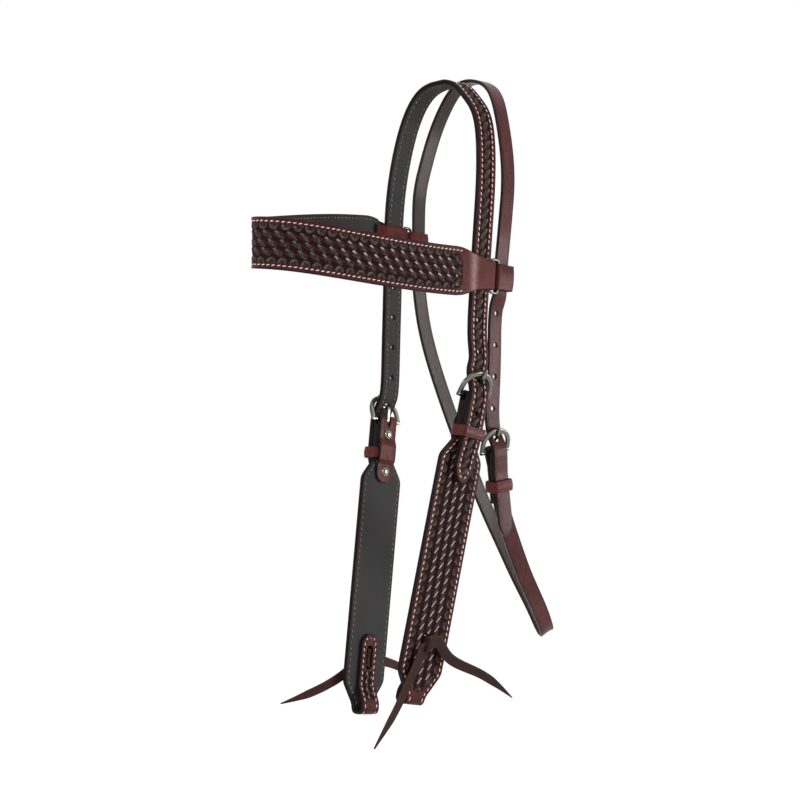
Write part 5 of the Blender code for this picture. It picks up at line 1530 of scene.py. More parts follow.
def leather(name, face, cloudy, edge, flesh, roughness, specular, grain=0.5):
    """Oiled leather: cloudy dye, fine pores, burnished edges and a plainer flesh side."""
    shader = Shader(name)
    cloud = shader.spread(shader.noise(38.0, 5.0), 0.35, 0.68)
    speck = shader.spread(shader.noise(1500.0, 2.0), 0.42, 0.62)
    fibre = shader.spread(shader.noise(520.0, 4.0, 0.6, (1, 1, 0.10)), 0.46, 0.68, 0.0, 0.55)
    darker = tuple(x * 0.62 for x in face[:3]) + (1,)
    paler = tuple(x * 1.45 + 0.003 for x in face[:3]) + (1,)
    colour = shader.mix(cloud, face, cloudy)
    colour = shader.mix(fibre, colour, paler)
    colour = shader.mix(shader.spread(shader.product(speck, cloud), 0.0, 1.0, 0.0, 0.7), colour, darker)
    colour = shader.mix(shader.attribute("back"), colour, flesh)
    colour = shader.mix(shader.share("margin", top=0.6), colour, MARGIN_TONE)
    colour = shader.edged(colour, edge, 0.15, 0.9)
    colour = shader.mix(shader.share("groove", top=0.6), colour, darker)
    shader.set(Base_Color=colour, Specular_IOR_Level=specular)
    shader.set(Roughness=shader.spread(speck, 0, 1, roughness - 0.05, roughness + 0.09))
    shader.pores(1150.0, 700.0, 0.6, grain)
    return shader.surface


def tooled_leather():
    """The leather of the tooled faces: painted shade in the stamped hollows, and painted highlights on
    the crests, the shells' rims and the browband's tab where it bends.
    """
    shader = Shader("tooled_leather_fine")
    cloud = shader.spread(shader.noise(55.0, 5.0), 0.35, 0.68)
    speck = shader.spread(shader.noise(1300.0, 3.0), 0.40, 0.64)
    fleck = shader.spread(shader.noise(620.0, 3.0), 0.40, 0.62)
    colour = shader.mix(cloud, TOOLED_FACE, TOOLED_CLOUD)
    colour = shader.mix(shader.attribute("plain"), colour, shader.mix(cloud, BURGUNDY, BURGUNDY_DEEP))
    # The painted highlight on the browband's tab, streaked by the fleck noise
    bend_highlight = shader.product(shader.attribute("bend_highlight"), shader.spread(fleck, 0, 1, 1.0, 0.5))
    colour = shader.mix(bend_highlight, colour, BEND_HIGHLIGHT_TONE)
    # Painted shade in the stamped hollows, darkest where the tooling is deepest
    colour = shader.mix(shader.share("hollow", 0.1, 0.8), colour, TOOLED_HOLLOW_SHADE)
    bar = shader.share("bar", top=0.9)
    colour = shader.mix(bar, colour, shader.mix(fleck, BAR_TONE, BAR_DARK))
    # The painted highlight on the shells' rims
    rim = shader.product(shader.attribute("rim"), shader.spread(fleck, 0, 1, 1.0, 0.15))
    colour = shader.mix(rim, colour, SHELL_RIM_HIGHLIGHT_TONE)
    colour = shader.mix(shader.share("ridge", 0.2, 0.8), colour, RIDGE_TONE)
    # The painted highlight on the crests of bars and dashes, broken up by speckle
    crest_light = shader.share("crest_highlight", 0.12, 0.75)
    crest_light = shader.product(crest_light, shader.spread(speck, 0, 1, 1.0, 0.55))
    colour = shader.mix(crest_light, colour, CREST_HIGHLIGHT_TONE)
    colour = shader.mix(shader.share("groove", 0.1, 0.8), colour, GROOVE_TONE)
    colour = shader.mix(shader.attribute("back"), colour, FLESH_TONE)
    colour = shader.edged(colour, EDGE_TONE, 0.25, 0.95)
    shader.set(Base_Color=colour, Specular_IOR_Level=TOOLED_SPECULAR)
    hollow = shader.attribute("hollow")
    shader.set(Roughness=shader.spread(hollow, 0.0, 0.7, RUBBED_ROUGHNESS, HOLLOW_ROUGHNESS))
    shader.pores(1250.0, 800.0, 0.7, 0.55)
    return shader.surface


def thread(name, pale, dark):
    """Twisted waxed thread: two tones mixed by noise, and a fine noise bump."""
    shader = Shader(name)
    tone = shader.spread(shader.noise(900.0, 2.0), 0.35, 0.65)
    shader.set(Base_Color=shader.mix(tone, pale, dark), Roughness=0.6, Specular_IOR_Level=0.3)
    shader.bump(shader.noise(2600.0, 2.0), 0.0001, 0.6)
    return shader.surface


def metal(name, bright, dull, low, high, scratch=0.25, patina=0.5):
    """Plated metal with a patchy patina and fine scratches, a painted highlight along its rims and
    painted shade on its sides and back.
    """
    shader = Shader(name)
    patch = shader.spread(shader.noise(210.0, 6.0, 0.65), 0.38, 0.66)
    colour = shader.mix(shader.spread(patch, 0, 1, 0, patina), bright, dull)
    # The colour of the painted shade on the metal's sides and back
    dark = tuple(x * 0.30 for x in dull[:3]) + (1,)
    # A painted highlight along the rims of the metal
    colour = shader.mix(shader.share("edge", 0.05, 0.7, 0.6), colour, METAL_RIM_HIGHLIGHT)
    # Painted shade on the sides and the back
    colour = shader.mix(shader.share("side", top=0.85), colour, dark)
    colour = shader.mix(shader.share("back", top=0.5), colour, dark)
    shader.set(Base_Color=colour, Metallic=1.0)
    shader.set(Roughness=shader.spread(patch, 0.0, 1.0, low, high))
    fine = shader.sum(shader.noise(1800.0, 3.0), shader.noise(320.0, 2.0), 1.4)
    shader.bump(fine, 0.00008, scratch)
    return shader.surface


TOOLED_LEATHER = tooled_leather()
SMOOTH_LEATHER = leather(
    "smooth_leather_fine", BURGUNDY, BURGUNDY_DEEP, EDGE_TONE, FLESH_TONE, 0.22, 0.09
)
THROAT_LEATHER = leather(
    "throat_leather_fine", THROAT_TONE, THROAT_CLOUD, EDGE_TONE, THROAT_FLESH, 0.23, 0.12
)
LINING_LEATHER = leather(
    "lining_leather_fine", CHARCOAL, CHARCOAL_DEEP, EDGE_TONE, CHARCOAL, 0.50, 0.11
)
LACE_LEATHER = leather(
    "lace_leather_fine", LACE_FACE, LACE_CLOUD, LACE_EDGE, LACE_CLOUD, 0.50, 0.08, 0.8
)
PALE_THREAD = thread("pale_thread", THREAD_PALE, THREAD_SHADE)
LINING_THREAD = thread("lining_thread", LINING_THREAD_TONE, LINING_THREAD_SHADE)
BUCKLE_NICKEL = metal("antique_nickel_fine", srgb(138, 136, 124), srgb(84, 82, 72), 0.20, 0.38)
RIVET_NICKEL = metal("bright_nickel_fine", srgb(158, 152, 142), srgb(70, 64, 56), 0.06, 0.20, 0.10, 0.8)
RING_STEEL = metal("dark_steel_fine", srgb(96, 94, 90), srgb(42, 40, 38), 0.16, 0.36)


# The leather pieces


CROWN_STYLE = {
    "rows": 0, "pitch": 0.0080, "slant": math.radians(36), "gap": 0.02, "border": False,
    "bar": (0.0056, 0.0020), "dash": (0.0046, 0.00035), "dash_height": 0.5,
    "dash_slant": math.radians(36), "lit_bar": 0.30, "lit_dash": 0.0, "bar_tone": 1.0, "lean": 0.3,
    "plain": 0.4, "highlight_fade_from": 1.0, "bend_highlight": 0.0,
}
BROW_STYLE = {
    "rows": 1, "pitch": 0.0090, "slant": math.radians(37), "gap": 0.0064, "border": True,
    "bar": (0.0046, 0.0017), "dash": (0.0052, 0.00032), "dash_height": 0.45,
    "dash_slant": math.radians(27), "lit_bar": 0.80, "lit_dash": 0.0, "bar_tone": 0.9, "lean": 0.3,
    "plain": 1.0, "highlight_fade_from": 0.10, "bend_highlight": 0.55, "shell": 0.9,
}
CHEEK_STYLE = {
    "rows": 1, "pitch": 0.0074, "slant": math.radians(33), "gap": 0.0080, "border": True,
    "bar": (0.0042, 0.0014), "dash": (0.0034, 0.00052), "dash_height": 1.0,
    "dash_slant": math.radians(33), "lit_bar": 0.20, "lit_dash": 0.78, "bar_tone": 0.35, "lean": 0.3,
    "plain": 0.2, "highlight_fade_from": 1.0, "bend_highlight": 0.0, "shell": 0.6,
}
TAB_STYLE = {
    "rows": 1, "pitch": 0.0068, "slant": math.radians(30), "gap": 0.0056, "border": False,
    "bar": (0.0028, 0.0019), "dash": (0.0022, 0.0005), "dash_height": 0.6,
    "dash_slant": math.radians(-40), "lit_bar": 0.5, "lit_dash": 0.25, "bar_tone": 0.7, "lean": 0.0,
    "plain": 0.2, "highlight_fade_from": 1.0, "bend_highlight": 0.0,
}


def softened(half_width, length, reach=SOFTENING):
    """A half width without the kinks of its table."""
    shares = SOFTENING_SHARES

    def width(place):
        near = min(place, length - place, reach)
        return sum(half_width(place + near * share) for share in shares) / len(shares)

    return width


def edge_lines(half_width, inset, start, end):
    """A stitch line's two sides over a stretch, as (place, across), where the strap is wide enough."""
    count = max(2, math.ceil((end - start) / STITCH_LINE_STEP))
    spots = np.linspace(start, end, count + 1)
    half = np.array([half_width(s) for s in spots])
    reach = half - inset * np.sqrt(1 + np.gradient(half, spots) ** 2)
    room = [(float(s), float(v)) for s, v in zip(spots, reach) if v > 0]
    return room, [(s, -v) for s, v in room]


def add_stitches(name, node, route, paths, height, pitch, surface=PALE_THREAD, matrix=None):
    """Numbered rows of stitches that ride with a node's body."""
    for k, path in enumerate(paths):
        if len(path) > 2:
            stitch_row(f"{name}_{k + 1}", route, path, height, pitch, surface, BODY_OF[node], matrix)


def strap_holes(route, places, thickness):
    """The cuts for round holes through a strap, from (place, radius) pairs."""
    holes = []
    for place, radius in places:
        point, _, _, outward = route.at(place)
        holes.append((point + outward * thickness / 2, outward, radius, thickness + CUT_OVERRUN))
    return holes


def rivet_shafts(seat):
    """The cuts for both rivets of a cheek."""
    outward = (seat.to_3x3() @ BACK).normalized()
    return [
        (seat @ Vector((0, 0, -drop)), outward, RIVET_SHAFT + CLEARANCE, SHAFT_CUT)
        for drop in (UPPER_RIVET_DROP, LOWER_RIVET_DROP)
    ]


def dress_crown():
    """The crown strap's two layers and their stitches, which lie deeper under the browband's folds."""
    route = crown_route()
    length = route.length
    width = softened(crown_width(route), length)
    base = LINING_THICKNESS + CLEARANCE
    top = base + TOOLED_THICKNESS
    inset = CROWN_STITCH_INSET
    zone = (CROWN_TOOLING_START, length - CROWN_TOOLING_START)

    def relief(s, v, room):
        return tooling(s, v, room, CROWN_STYLE, inset, zone, zone)

    outer = strap(
        "crown_tooled", route, 0.0, length, width, base, top, TOOLED_LEATHER, relief,
        columns=CROWN_COLUMNS,
    )
    lining = strap(
        "crown_flesh_lining", route, 0.0, length, width, 0.0, LINING_THICKNESS, LINING_LEATHER,
        back_relief=sewn_back(inset), columns=LINING_COLUMNS, step=CROWN_LINING_STEP,
    )
    tongues, others = crown_hole_places(route)
    places = [(place, TONGUE_HOLE_RADIUS) for place in tongues]
    places += [(place, HOLE_RADIUS) for place in others]
    for piece in (outer, lining):
        punch(piece, strap_holes(route, places, PANEL_DEPTH))
    stand_for(outer, "crown_outer")
    stand_for(lining, "crown_lining")
    rows = edge_lines(width, inset, 0.0, length)
    folds = [
        route.nearest(plan_frame(route, side, drop).translation)
        for side, drop in ((1, NEAR_BROWBAND_DROP), (-1, FAR_BROWBAND_DROP))
    ]

    def sunk(s):
        away = np.min([np.abs(s - fold) for fold in folds], axis=0)
        return np.interp(away, [FOLD_REACH, FOLD_REACH + SINK_FADE], [STITCH_SINK, 0.0])

    def height(s):
        return top - GROOVE_DEPTH - sunk(s)

    def back_height(s):
        return -GROOVE_DEPTH * BACK_STITCH_SHARE - sunk(s) * 1.4

    add_stitches("crown_stitches", "crown_outer", route, rows, height, CROWN_STITCH_PITCH)
    add_stitches(
        "crown_lining_stitches", "crown_lining", turned_over(route), rows, back_height,
        CROWN_STITCH_PITCH, LINING_THREAD,
    )
    return route


def turned_over(route):
    """The same line with its outward direction reversed, for stitches on a strap's back."""
    return Route(route.points, -route.across)


def dress_browband(crown):
    """The browband's two layers and their stitches; gives the frames where it crosses the crown."""
    near = plan_frame(crown, 1, NEAR_BROWBAND_DROP)
    far = plan_frame(crown, -1, FAR_BROWBAND_DROP)
    route, wrap = browband_route(near, far)
    length = route.length
    width = softened(width_table(browband_width(route, wrap)), length, BROWBAND_SOFTENING)
    zone = (wrap + BROWBAND_TOOLING_START, length - wrap - BROWBAND_TOOLING_START)

    def relief(s, v, room):
        return tooling(s, v, room, BROW_STYLE, STITCH_INSET, zone, zone)

    outer = strap(
        "browband_tooled", route, 0.0, length, width, 0.0, BROWBAND_THICKNESS, TOOLED_LEATHER, relief,
        columns=BROWBAND_COLUMNS,
    )
    stand_for(outer, "browband_outer")
    start = wrap + LINING_SETBACK
    end = length - start
    lining = strap(
        "browband_flesh_lining", route, start, end, width, -CLEARANCE - LINING_THICKNESS, -CLEARANCE,
        LINING_LEATHER, back_relief=sewn_back(STITCH_INSET), columns=LINING_COLUMNS, step=LINING_STEP,
    )
    stand_for(lining, "browband_lining")
    height = BROWBAND_THICKNESS - GROOVE_DEPTH
    lead = BROWBAND_STITCH_LEAD
    rows = edge_lines(width, STITCH_INSET, zone[0] - lead, zone[1] + lead)
    add_stitches("browband_stitches", "browband_outer", route, rows, height, BROW_STITCH_PITCH)
    height = CLEARANCE + LINING_THICKNESS - GROOVE_DEPTH * BACK_STITCH_SHARE
    add_stitches(
        "browband_lining_stitches", "browband_lining", turned_over(route), rows, height,
        BROW_STITCH_PITCH, LINING_THREAD,
    )
    return near, far


def dress_cheek(prefix, seat, flip):
    """A cheek's two layers with their slot, rivet holes and stitches."""
    corners, radii = cheek_outer_line()
    route = local_route(corners, radii)
    length = route.length
    pairs = panel_pairs(NECK_TOP, -CHEEK_LENGTH)
    tip = tip_pairs(length, BIT_TAB_WIDTH / 2, BIT_TAB_WIDTH / 2, -1, ROUND_END_SHARES)
    width = softened(width_table(pairs + tip[::-1]), length, CHEEK_SOFTENING)
    foot = CHEEK_LENGTH + NECK_TOP - FOOT_STRAIGHT * 1.5
    tab = length - BIT_TAB_HEIGHT + LOOP_CLOSING * 0.35
    tab_end = length - BIT_TAB_HEIGHT + LACE_SLOT_RISE - LACE_SLOT_LENGTH / 2 - STITCH_INSET
    sewn = (0.0, length)

    def relief(s, v, room):
        front = tooling(s, v * flip, room, CHEEK_STYLE, STITCH_INSET, (0.0, foot), sewn)
        back = tooling(s, v * flip, room, TAB_STYLE, STITCH_INSET, (tab, tab_end), sewn)
        behind = s > (foot + tab) / 2
        shares = {label: np.where(behind, back[1][label], front[1][label]) for label in front[1]}
        return np.where(behind, back[0], front[0]), shares

    outer = strap(
        prefix + "_cheek_tooled", route, 0.0, length, width, 0.0, TOOLED_THICKNESS, TOOLED_LEATHER,
        relief, columns=CHEEK_COLUMNS, matrix=seat,
    )
    lining_end = -CHEEK_LENGTH + TOOLED_THICKNESS + BIT_LOOP_RADIUS
    lining_route = local_route([(LINING_BASE, NECK_TOP), (LINING_BASE, lining_end)], [0, 0])
    lining = strap(
        prefix + "_cheek_flesh_lining", lining_route, 0.0, lining_route.length, width, 0.0,
        LINING_THICKNESS, LINING_LEATHER, back_relief=sewn_back(STITCH_INSET),
        columns=CHEEK_LINING_COLUMNS, step=LINING_STEP, matrix=seat,
    )
    slot_middle = -CHEEK_LENGTH + LACE_SLOT_RISE
    for piece in (outer, lining):
        punch(piece, rivet_shafts(seat))
        slot_cut(
            piece, slot_middle - LACE_SLOT_LENGTH / 2, slot_middle + LACE_SLOT_LENGTH / 2,
            LACE_SLOT_WIDTH, TOOLED_BASE - TOOLED_THICKNESS * 3,
            TOOLED_BASE + TOOLED_THICKNESS + CUT_OVERRUN, seat,
        )
    stand_for(outer, prefix + "_cheek_outer")
    stand_for(lining, prefix + "_cheek_lining")
    node = prefix + "_cheek_outer"
    one, other = edge_lines(width, STITCH_INSET, SEWN_END, length - STITCH_INSET)
    rows = [one + other[::-1]]
    height = TOOLED_THICKNESS - GROOVE_DEPTH
    add_stitches(prefix + "_cheek_stitches", node, route, rows, height, STITCH_PITCH, matrix=seat)
    backs = edge_lines(width, STITCH_INSET, SEWN_END, lining_route.length - SEWN_END)
    add_stitches(
        prefix + "_cheek_lining_stitches", prefix + "_cheek_lining", turned_over(lining_route), backs,
        -GROOVE_DEPTH * BACK_STITCH_SHARE, STITCH_PITCH, LINING_THREAD, seat,
    )


def dress_chape(prefix, seat):
    """The leather folded round a cheek buckle's bar, slotted for the tongue."""
    bend = CHAPE_THICKNESS
    route = local_route(chape_corners(), [0, bend, bend, bend, bend, LEG, LEG, 0])
    half = CROWN_WIDTH / 2
    tip = tip_pairs(0.0, half, half, 1, ROUND_END_SHARES)
    width = softened(width_table(tip + [(route.length, half)]), route.length, CHAPE_SOFTENING)
    chape = strap(
        prefix + "_chape_leather", route, 0.0, route.length, width, 0.0, CHAPE_THICKNESS,
        SMOOTH_LEATHER, creased, creased, columns=CHAPE_COLUMNS, matrix=seat,
    )
    punch(chape, rivet_shafts(seat))
    slot_width = TONGUE_WIDTH + 3 * CLEARANCE
    slot_cut(
        chape, -BAR_RADIUS - TONGUE_THICKNESS * 3, LEG + CHAPE_THICKNESS + CUT_OVERRUN + slot_width,
        slot_width, -LEG_OVER_KEEPER - CHAPE_THICKNESS - CUT_OVERRUN,
        LEG + CHAPE_THICKNESS + CUT_OVERRUN, seat,
    )
    stand_for(chape, prefix + "_chape")


def dress_loop(node, outline, height, wall, matrix, middle):
    """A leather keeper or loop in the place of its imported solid."""
    obj = leather_loop(node + "_leather", outline, height, wall, SMOOTH_LEATHER, matrix, middle)
    stand_for(obj, node)


def dress_throatlatch(near_loop, far_loop):
    """The throatlatch with its holes, its tongue slot and the stitches of its turn-back."""
    route = throat_route(near_loop, far_loop)
    length = route.length
    half = THROAT_WIDTH / 2
    pairs = [(0.0, half)] + tip_pairs(length, THROAT_TIP, half, -1, TIP_SHARES)[::-1]
    width = softened(width_table(pairs), length)
    strip_piece = strap(
        "throatlatch_leather", route, 0.0, length, width, 0.0, THROAT_THICKNESS, THROAT_LEATHER,
        creased, creased, columns=THROAT_COLUMNS, step=THROAT_STEP,
    )
    seat = THROAT_SEAT
    out = outward_at(throat_billet_line()[::-1], THROAT_HOLE_RISE)
    start = route.nearest(seat @ Vector((0, out, THROAT_HOLE_RISE)))
    places = [(start, TONGUE_HOLE_RADIUS)]
    places += [(start - k * THROAT_HOLE_PITCH, HOLE_RADIUS) for k in range(1, THROAT_HOLES + 1)]
    punch(strip_piece, strap_holes(route, places, THROAT_THICKNESS))
    slot_width = TONGUE_WIDTH + 3 * CLEARANCE
    slot_cut(
        strip_piece, -THROAT_BAR_RADIUS - TONGUE_THICKNESS * 3,
        THROAT_LEG + THROAT_THICKNESS + CLEARANCE + slot_width / 2, slot_width,
        -THROAT_LEG - THROAT_THICKNESS - CUT_OVERRUN, THROAT_BILLET_BASE - CLEARANCE / 2, seat,
    )
    stand_for(strip_piece, "throatlatch")
    sewn = THROAT_TURN_BACK - THROAT_FOLD * 1.4
    across = half - THROAT_STITCH_INSET
    first = THROAT_STITCH_START
    rows = [[(first, across), (sewn, across)], [(first, -across), (sewn, -across)]]
    rows.append([(first, across), (first + 0.0001, -across)])
    rows = [refined(row) for row in rows]
    height = THROAT_THICKNESS - GROOVE_DEPTH - STITCH_SINK
    add_stitches("throatlatch_stitches", "throatlatch", route, rows, height, THROAT_STITCH_PITCH)


def refined(row):
    """A straight stitch line cut into short parts."""
    (s0, v0), (s1, v1) = row
    shares = [k / ROW_PARTS for k in range(ROW_PARTS + 1)]
    return [(s0 + (s1 - s0) * share, v0 + (v1 - v0) * share) for share in shares]


def dress_lace(prefix, forward, seat, rear_tail, front_tail):
    """A flat lace, spread to fill the slot where it turns."""
    route, knot_start, knot_end = lace_line(forward, rear_tail, front_tail)
    end = route.length
    half = LACE_WIDTH / 2
    tip = half * LACE_TIP_SHARE
    width = width_table(
        [
            (0.0, tip),
            (LACE_TIP, half),
            (knot_start, half * LACE_REAR_SHARE),
            ((knot_start + knot_end) / 2, KNOT_SPREAD),
            (knot_end, KNOT_SPREAD),
            (knot_end + LACE_WIDTH, half * LACE_FRONT_SHARE),
            (end - LACE_TIP, half),
            (end, tip),
        ]
    )
    lace = strap(
        prefix + "_lace_leather", route, 0.0, end, softened(width, end, LACE_SOFTENING), 0.0,
        LACE_THICKNESS, LACE_LEATHER, columns=LACE_COLUMNS, matrix=seat, curve=LACE_CURVE,
    )
    stand_for(lace, prefix + "_lace")


# The metal pieces


def lathe(name, profile, surface, matrix, steps):
    """A turned piece along Z from (radius, height) pairs, from the top at the axis to the bottom."""
    angles = np.arange(steps) * math.tau / steps
    rings = [(max(radius, LEAST_RADIUS), height) for radius, height in profile]
    verts = np.array([(r * math.cos(a), r * math.sin(a), h) for r, h in rings for a in angles])
    faces = [tuple(reversed(face)) for face in loop_faces(len(rings), steps)]
    faces.append(tuple(range(steps)))
    last = (len(rings) - 1) * steps
    faces.append(tuple(range(last + steps - 1, last - 1, -1)))
    obj = make_object(name, verts, faces, surface, None, matrix)
    sharp_corners(obj)
    return obj


def sharp_corners(obj, angle=CRISP_ANGLE):
    """Turns the faces outward and keeps the corners crisp that are sharper than the angle."""
    face_outward(obj)
    obj.data.set_sharp_from_angle(angle=angle)


def joined(obj, other):
    """One object of two meshes."""
    bm = bmesh.new()
    for piece in (obj, other):
        bm.from_mesh(piece.data)
    bm.to_mesh(obj.data)
    bm.free()
    bpy.data.objects.remove(other, do_unlink=True)
    return obj


def rivet_profile(burr):
    """A rivet's (radius, height) pairs: peened shaft, washer, shaft and dome."""
    thick = RIVET_BURR_HEIGHT
    lip = thick / 2
    dome_base = -LEG - CHAPE_THICKNESS - CLEARANCE
    profile = [
        (0.0, burr + thick * 0.55),
        (RIVET_SHAFT, burr + thick * 1.1),
        (RIVET_SHAFT * 1.15, burr + thick),
        (RIVET_BURR - lip, burr + thick),
        (RIVET_BURR, burr + lip),
        (RIVET_BURR, burr),
        (RIVET_SHAFT, burr),
        (RIVET_SHAFT, dome_base),
    ]
    for k in range(DOME_STEPS + 1):
        angle = math.pi / 2 * k / DOME_STEPS
        height = dome_base - RIVET_DOME_HEIGHT * math.sin(angle)
        profile.append((RIVET_DOME * math.cos(angle), height))
    return profile


def dress_rivets(prefix, seat):
    """Both rivets of a cheek, the upper one's washer on the chape and the lower one's on the cheek."""
    turn = UP.rotation_difference(BACK).to_matrix().to_4x4()
    for label, drop, burr in (
        ("_upper_rivet", UPPER_RIVET_DROP, BURR_BASE),
        ("_lower_rivet", LOWER_RIVET_DROP, LEG),
    ):
        place = seat @ Matrix.Translation((0, 0, -drop)) @ turn
        name = prefix + label + "_fine"
        piece = lathe(name, rivet_profile(burr), RIVET_NICKEL, place, RIVET_SIDES)
        stand_for(piece, prefix + label)


def arch_route(strap_width, room, height, lift):
    """The middle line of a horseshoe buckle frame from heel to heel, and half its width."""
    reach = strap_width / 2 + room + BUCKLE_BAND / 2
    lean = math.atan2(lift, height - BUCKLE_BAND / 2)
    rise = (height - BUCKLE_BAND / 2) / math.cos(lean)
    line = [(-reach, -BUCKLE_HEEL), (-reach, BUCKLE_ARM / 2)]
    arm = min(BUCKLE_ARM, rise / 3)
    for k in range(ARCH_STEPS + 1):
        angle = math.pi * (1 - k / ARCH_STEPS)
        line.append((reach * math.cos(angle), arm + (rise - arm) * math.sin(angle)))
    line += [(reach, BUCKLE_ARM / 2), (reach, -BUCKLE_HEEL)]
    tilt = Vector((0, math.sin(lean), math.cos(lean)))
    points = [Vector((x, 0, 0)) + tilt * q for x, q in line]
    across = []
    for x, q in line:
        spread = Vector((x, 0, 0)) if q < arm else Vector((x, 0, 0)) + tilt * (q - arm)
        across.append(spread.normalized())
    return Route(points, across), reach


def dress_buckle(node, tongue, seat, strap_width, room, height, lift, bar_radius, tongue_shape):
    """A rolled horseshoe frame with its bar, and the flat wire tongue on it."""
    route, reach = arch_route(strap_width, room, height, lift)
    band = BUCKLE_BAND / 2

    def bevelled(s, v, room):
        return BUCKLE_BEVEL * (1 - np.sqrt(np.clip(room / band * BUCKLE_BEVEL_REACH, 0, 1))), {}

    depth = BUCKLE_DEPTH / 2
    frame_piece = strap(
        node + "_fine", route, 0.0, route.length, lambda place: band, -depth, depth, BUCKLE_NICKEL,
        bevelled, columns=BAND_COLUMNS, matrix=seat, curve=BUCKLE_CURVE,
    )
    half = reach + band - BUCKLE_ROUND * 0.4
    neck = bar_radius - BAR_ROUND
    profile = [(0.0, half), (neck, half), (bar_radius, half - BAR_ROUND)]
    profile += [(bar_radius, -half + BAR_ROUND), (neck, -half), (0.0, -half)]
    turn = UP.rotation_difference(Vector((1, 0, 0))).to_matrix().to_4x4()
    bar = lathe(node + "_bar", profile, BUCKLE_NICKEL, seat @ turn, BAR_SIDES)
    stand_for(joined(frame_piece, bar), node)
    corners, radii = tongue_shape
    line = local_route(corners, radii)
    wide = TONGUE_WIDTH / 2
    end = line.length
    width = width_table([(0.0, wide), (end - TONGUE_WIDTH * 2, wide), (end, wide * TONGUE_TIP_SHARE)])
    piece = strap(
        tongue + "_fine", line, 0.0, end, width, 0.0, TONGUE_THICKNESS, BUCKLE_NICKEL,
        columns=TONGUE_COLUMNS, step=TONGUE_STEP, matrix=seat, curve=TONGUE_CURVE,
    )
    stand_for(piece, tongue)


def wire(name, points, radius, surface, matrix):
    """A closed round wire through points in the local plane y = 0."""
    points = np.array(points)
    way = unit(np.roll(points, -1, axis=0) - np.roll(points, 1, axis=0))
    side = np.array([0.0, 1.0, 0.0])
    wide = np.cross(way, side)
    around = np.arange(WIRE_SIDES) * math.tau / WIRE_SIDES
    ring = (
        points[:, None]
        + wide[:, None] * (np.cos(around) * radius)[None, :, None]
        + side * (np.sin(around) * radius)[None, :, None]
    )
    faces = loop_faces(len(points), WIRE_SIDES, closed=True)
    obj = make_object(name, ring.reshape(-1, 3), faces, surface, None, matrix)
    sharp_corners(obj, WIRE_CRISP_ANGLE)
    return obj


def dress_ring(prefix, rear, matrix):
    """A browband end's wire ring and leather loop; gives the frame where the throatlatch passes."""
    half = BROWBAND_TAB_WIDTH / 2 + WIRE_ROOM + WIRE_RADIUS
    front_bar, rear_bar = ring_bars()
    outline = box_outline((front_bar, -half), (rear_bar, half), WIRE_CORNER, WIRE_CORNER_STEPS)
    points = [(rear * x, 0.0, z) for x, z in outline]
    obj = wire(prefix + "_ring_fine", points, WIRE_RADIUS, RING_STEEL, matrix)
    stand_for(obj, prefix + "_browband_ring")
    outline = throat_loop_outline(rear)
    dress_loop(prefix + "_throat_loop", outline, THROAT_LOOP_HEIGHT, LOOP_THICKNESS, matrix, 0.0)
    return throat_loop_place(rear, matrix)


def dress_all():
    """Every visible piece of the headstall."""
    crown = dress_crown()
    near, far = dress_browband(crown)
    near_loop = dress_ring("near", -1, near)
    far_loop = dress_ring("far", 1, far)
    cheek_tongue = tongue_line(
        BAR_RADIUS, NEAR_BILLET, PANEL_DEPTH, TONGUE_HOLE_RISE, BUCKLE_HEIGHT, ARCH_LIFT
    )
    tails = {
        "near": (1, NEAR_REAR_TAIL_SHARES, NEAR_FRONT_TAIL_SHARES),
        "far": (-1, FAR_REAR_TAIL_SHARES, FAR_FRONT_TAIL_SHARES),
    }
    for prefix, seat, flip in (("near", NEAR_SEAT, 1), ("far", FAR_SEAT, -1)):
        dress_cheek(prefix, seat, flip)
        dress_chape(prefix, seat)
        dress_rivets(prefix, seat)
        outline = cheek_keeper_outline()
        dress_loop(
            prefix + "_cheek_keeper", outline, KEEPER_HEIGHT, KEEPER_THICKNESS, seat, -CHEEK_KEEPER_DROP
        )
        dress_buckle(
            prefix + "_cheek_buckle", prefix + "_cheek_tongue", seat, CROWN_WIDTH, BUCKLE_ROOM,
            BUCKLE_HEIGHT, ARCH_LIFT, BAR_RADIUS, cheek_tongue,
        )
        forward, rear_tail, front_tail = tails[prefix]
        dress_lace(prefix, forward, seat, rear_tail, front_tail)
    dress_throatlatch(near_loop, far_loop)
    throat_tongue = tongue_line(
        THROAT_BAR_RADIUS, throat_billet_line()[::-1], THROAT_THICKNESS, THROAT_HOLE_RISE,
        THROAT_BUCKLE_HEIGHT, THROAT_ARCH_LIFT,
    )
    dress_buckle(
        "throat_buckle", "throat_tongue", THROAT_SEAT, THROAT_WIDTH, THROAT_BUCKLE_ROOM,
        THROAT_BUCKLE_HEIGHT, THROAT_ARCH_LIFT, THROAT_BAR_RADIUS, throat_tongue,
    )
    outline = throat_keeper_outline()
    dress_loop(
        "throat_keeper", outline, KEEPER_HEIGHT, KEEPER_THICKNESS, THROAT_SEAT, -THROAT_KEEPER_DROP
    )


# The room

VIEW_TARGET = Vector((0, -0.055, -0.2585))
VIEW_AZIMUTH = 48.0
VIEW_DISTANCE = 1.1
VIEW_LENS = 62.1
VIEW_SENSOR = 36.0
WORLD_FILL = 0.75
FLOOR_LEVEL = -0.60
FLOOR_SIZE = 40.0
FLOOR_GLOW = 0.76
FLOOR_SHINE = 1.09
LAMPS = (
    ("key_lamp", 8, 0.7, 1.6, 0.45, 0.45, 15),
    ("side_lamp", 132, -0.18, 1.5, 0.50, 0.8, 25),
    ("top_lamp", 0, 1.6, 0.2, 0.8, 0.8, 8),
)


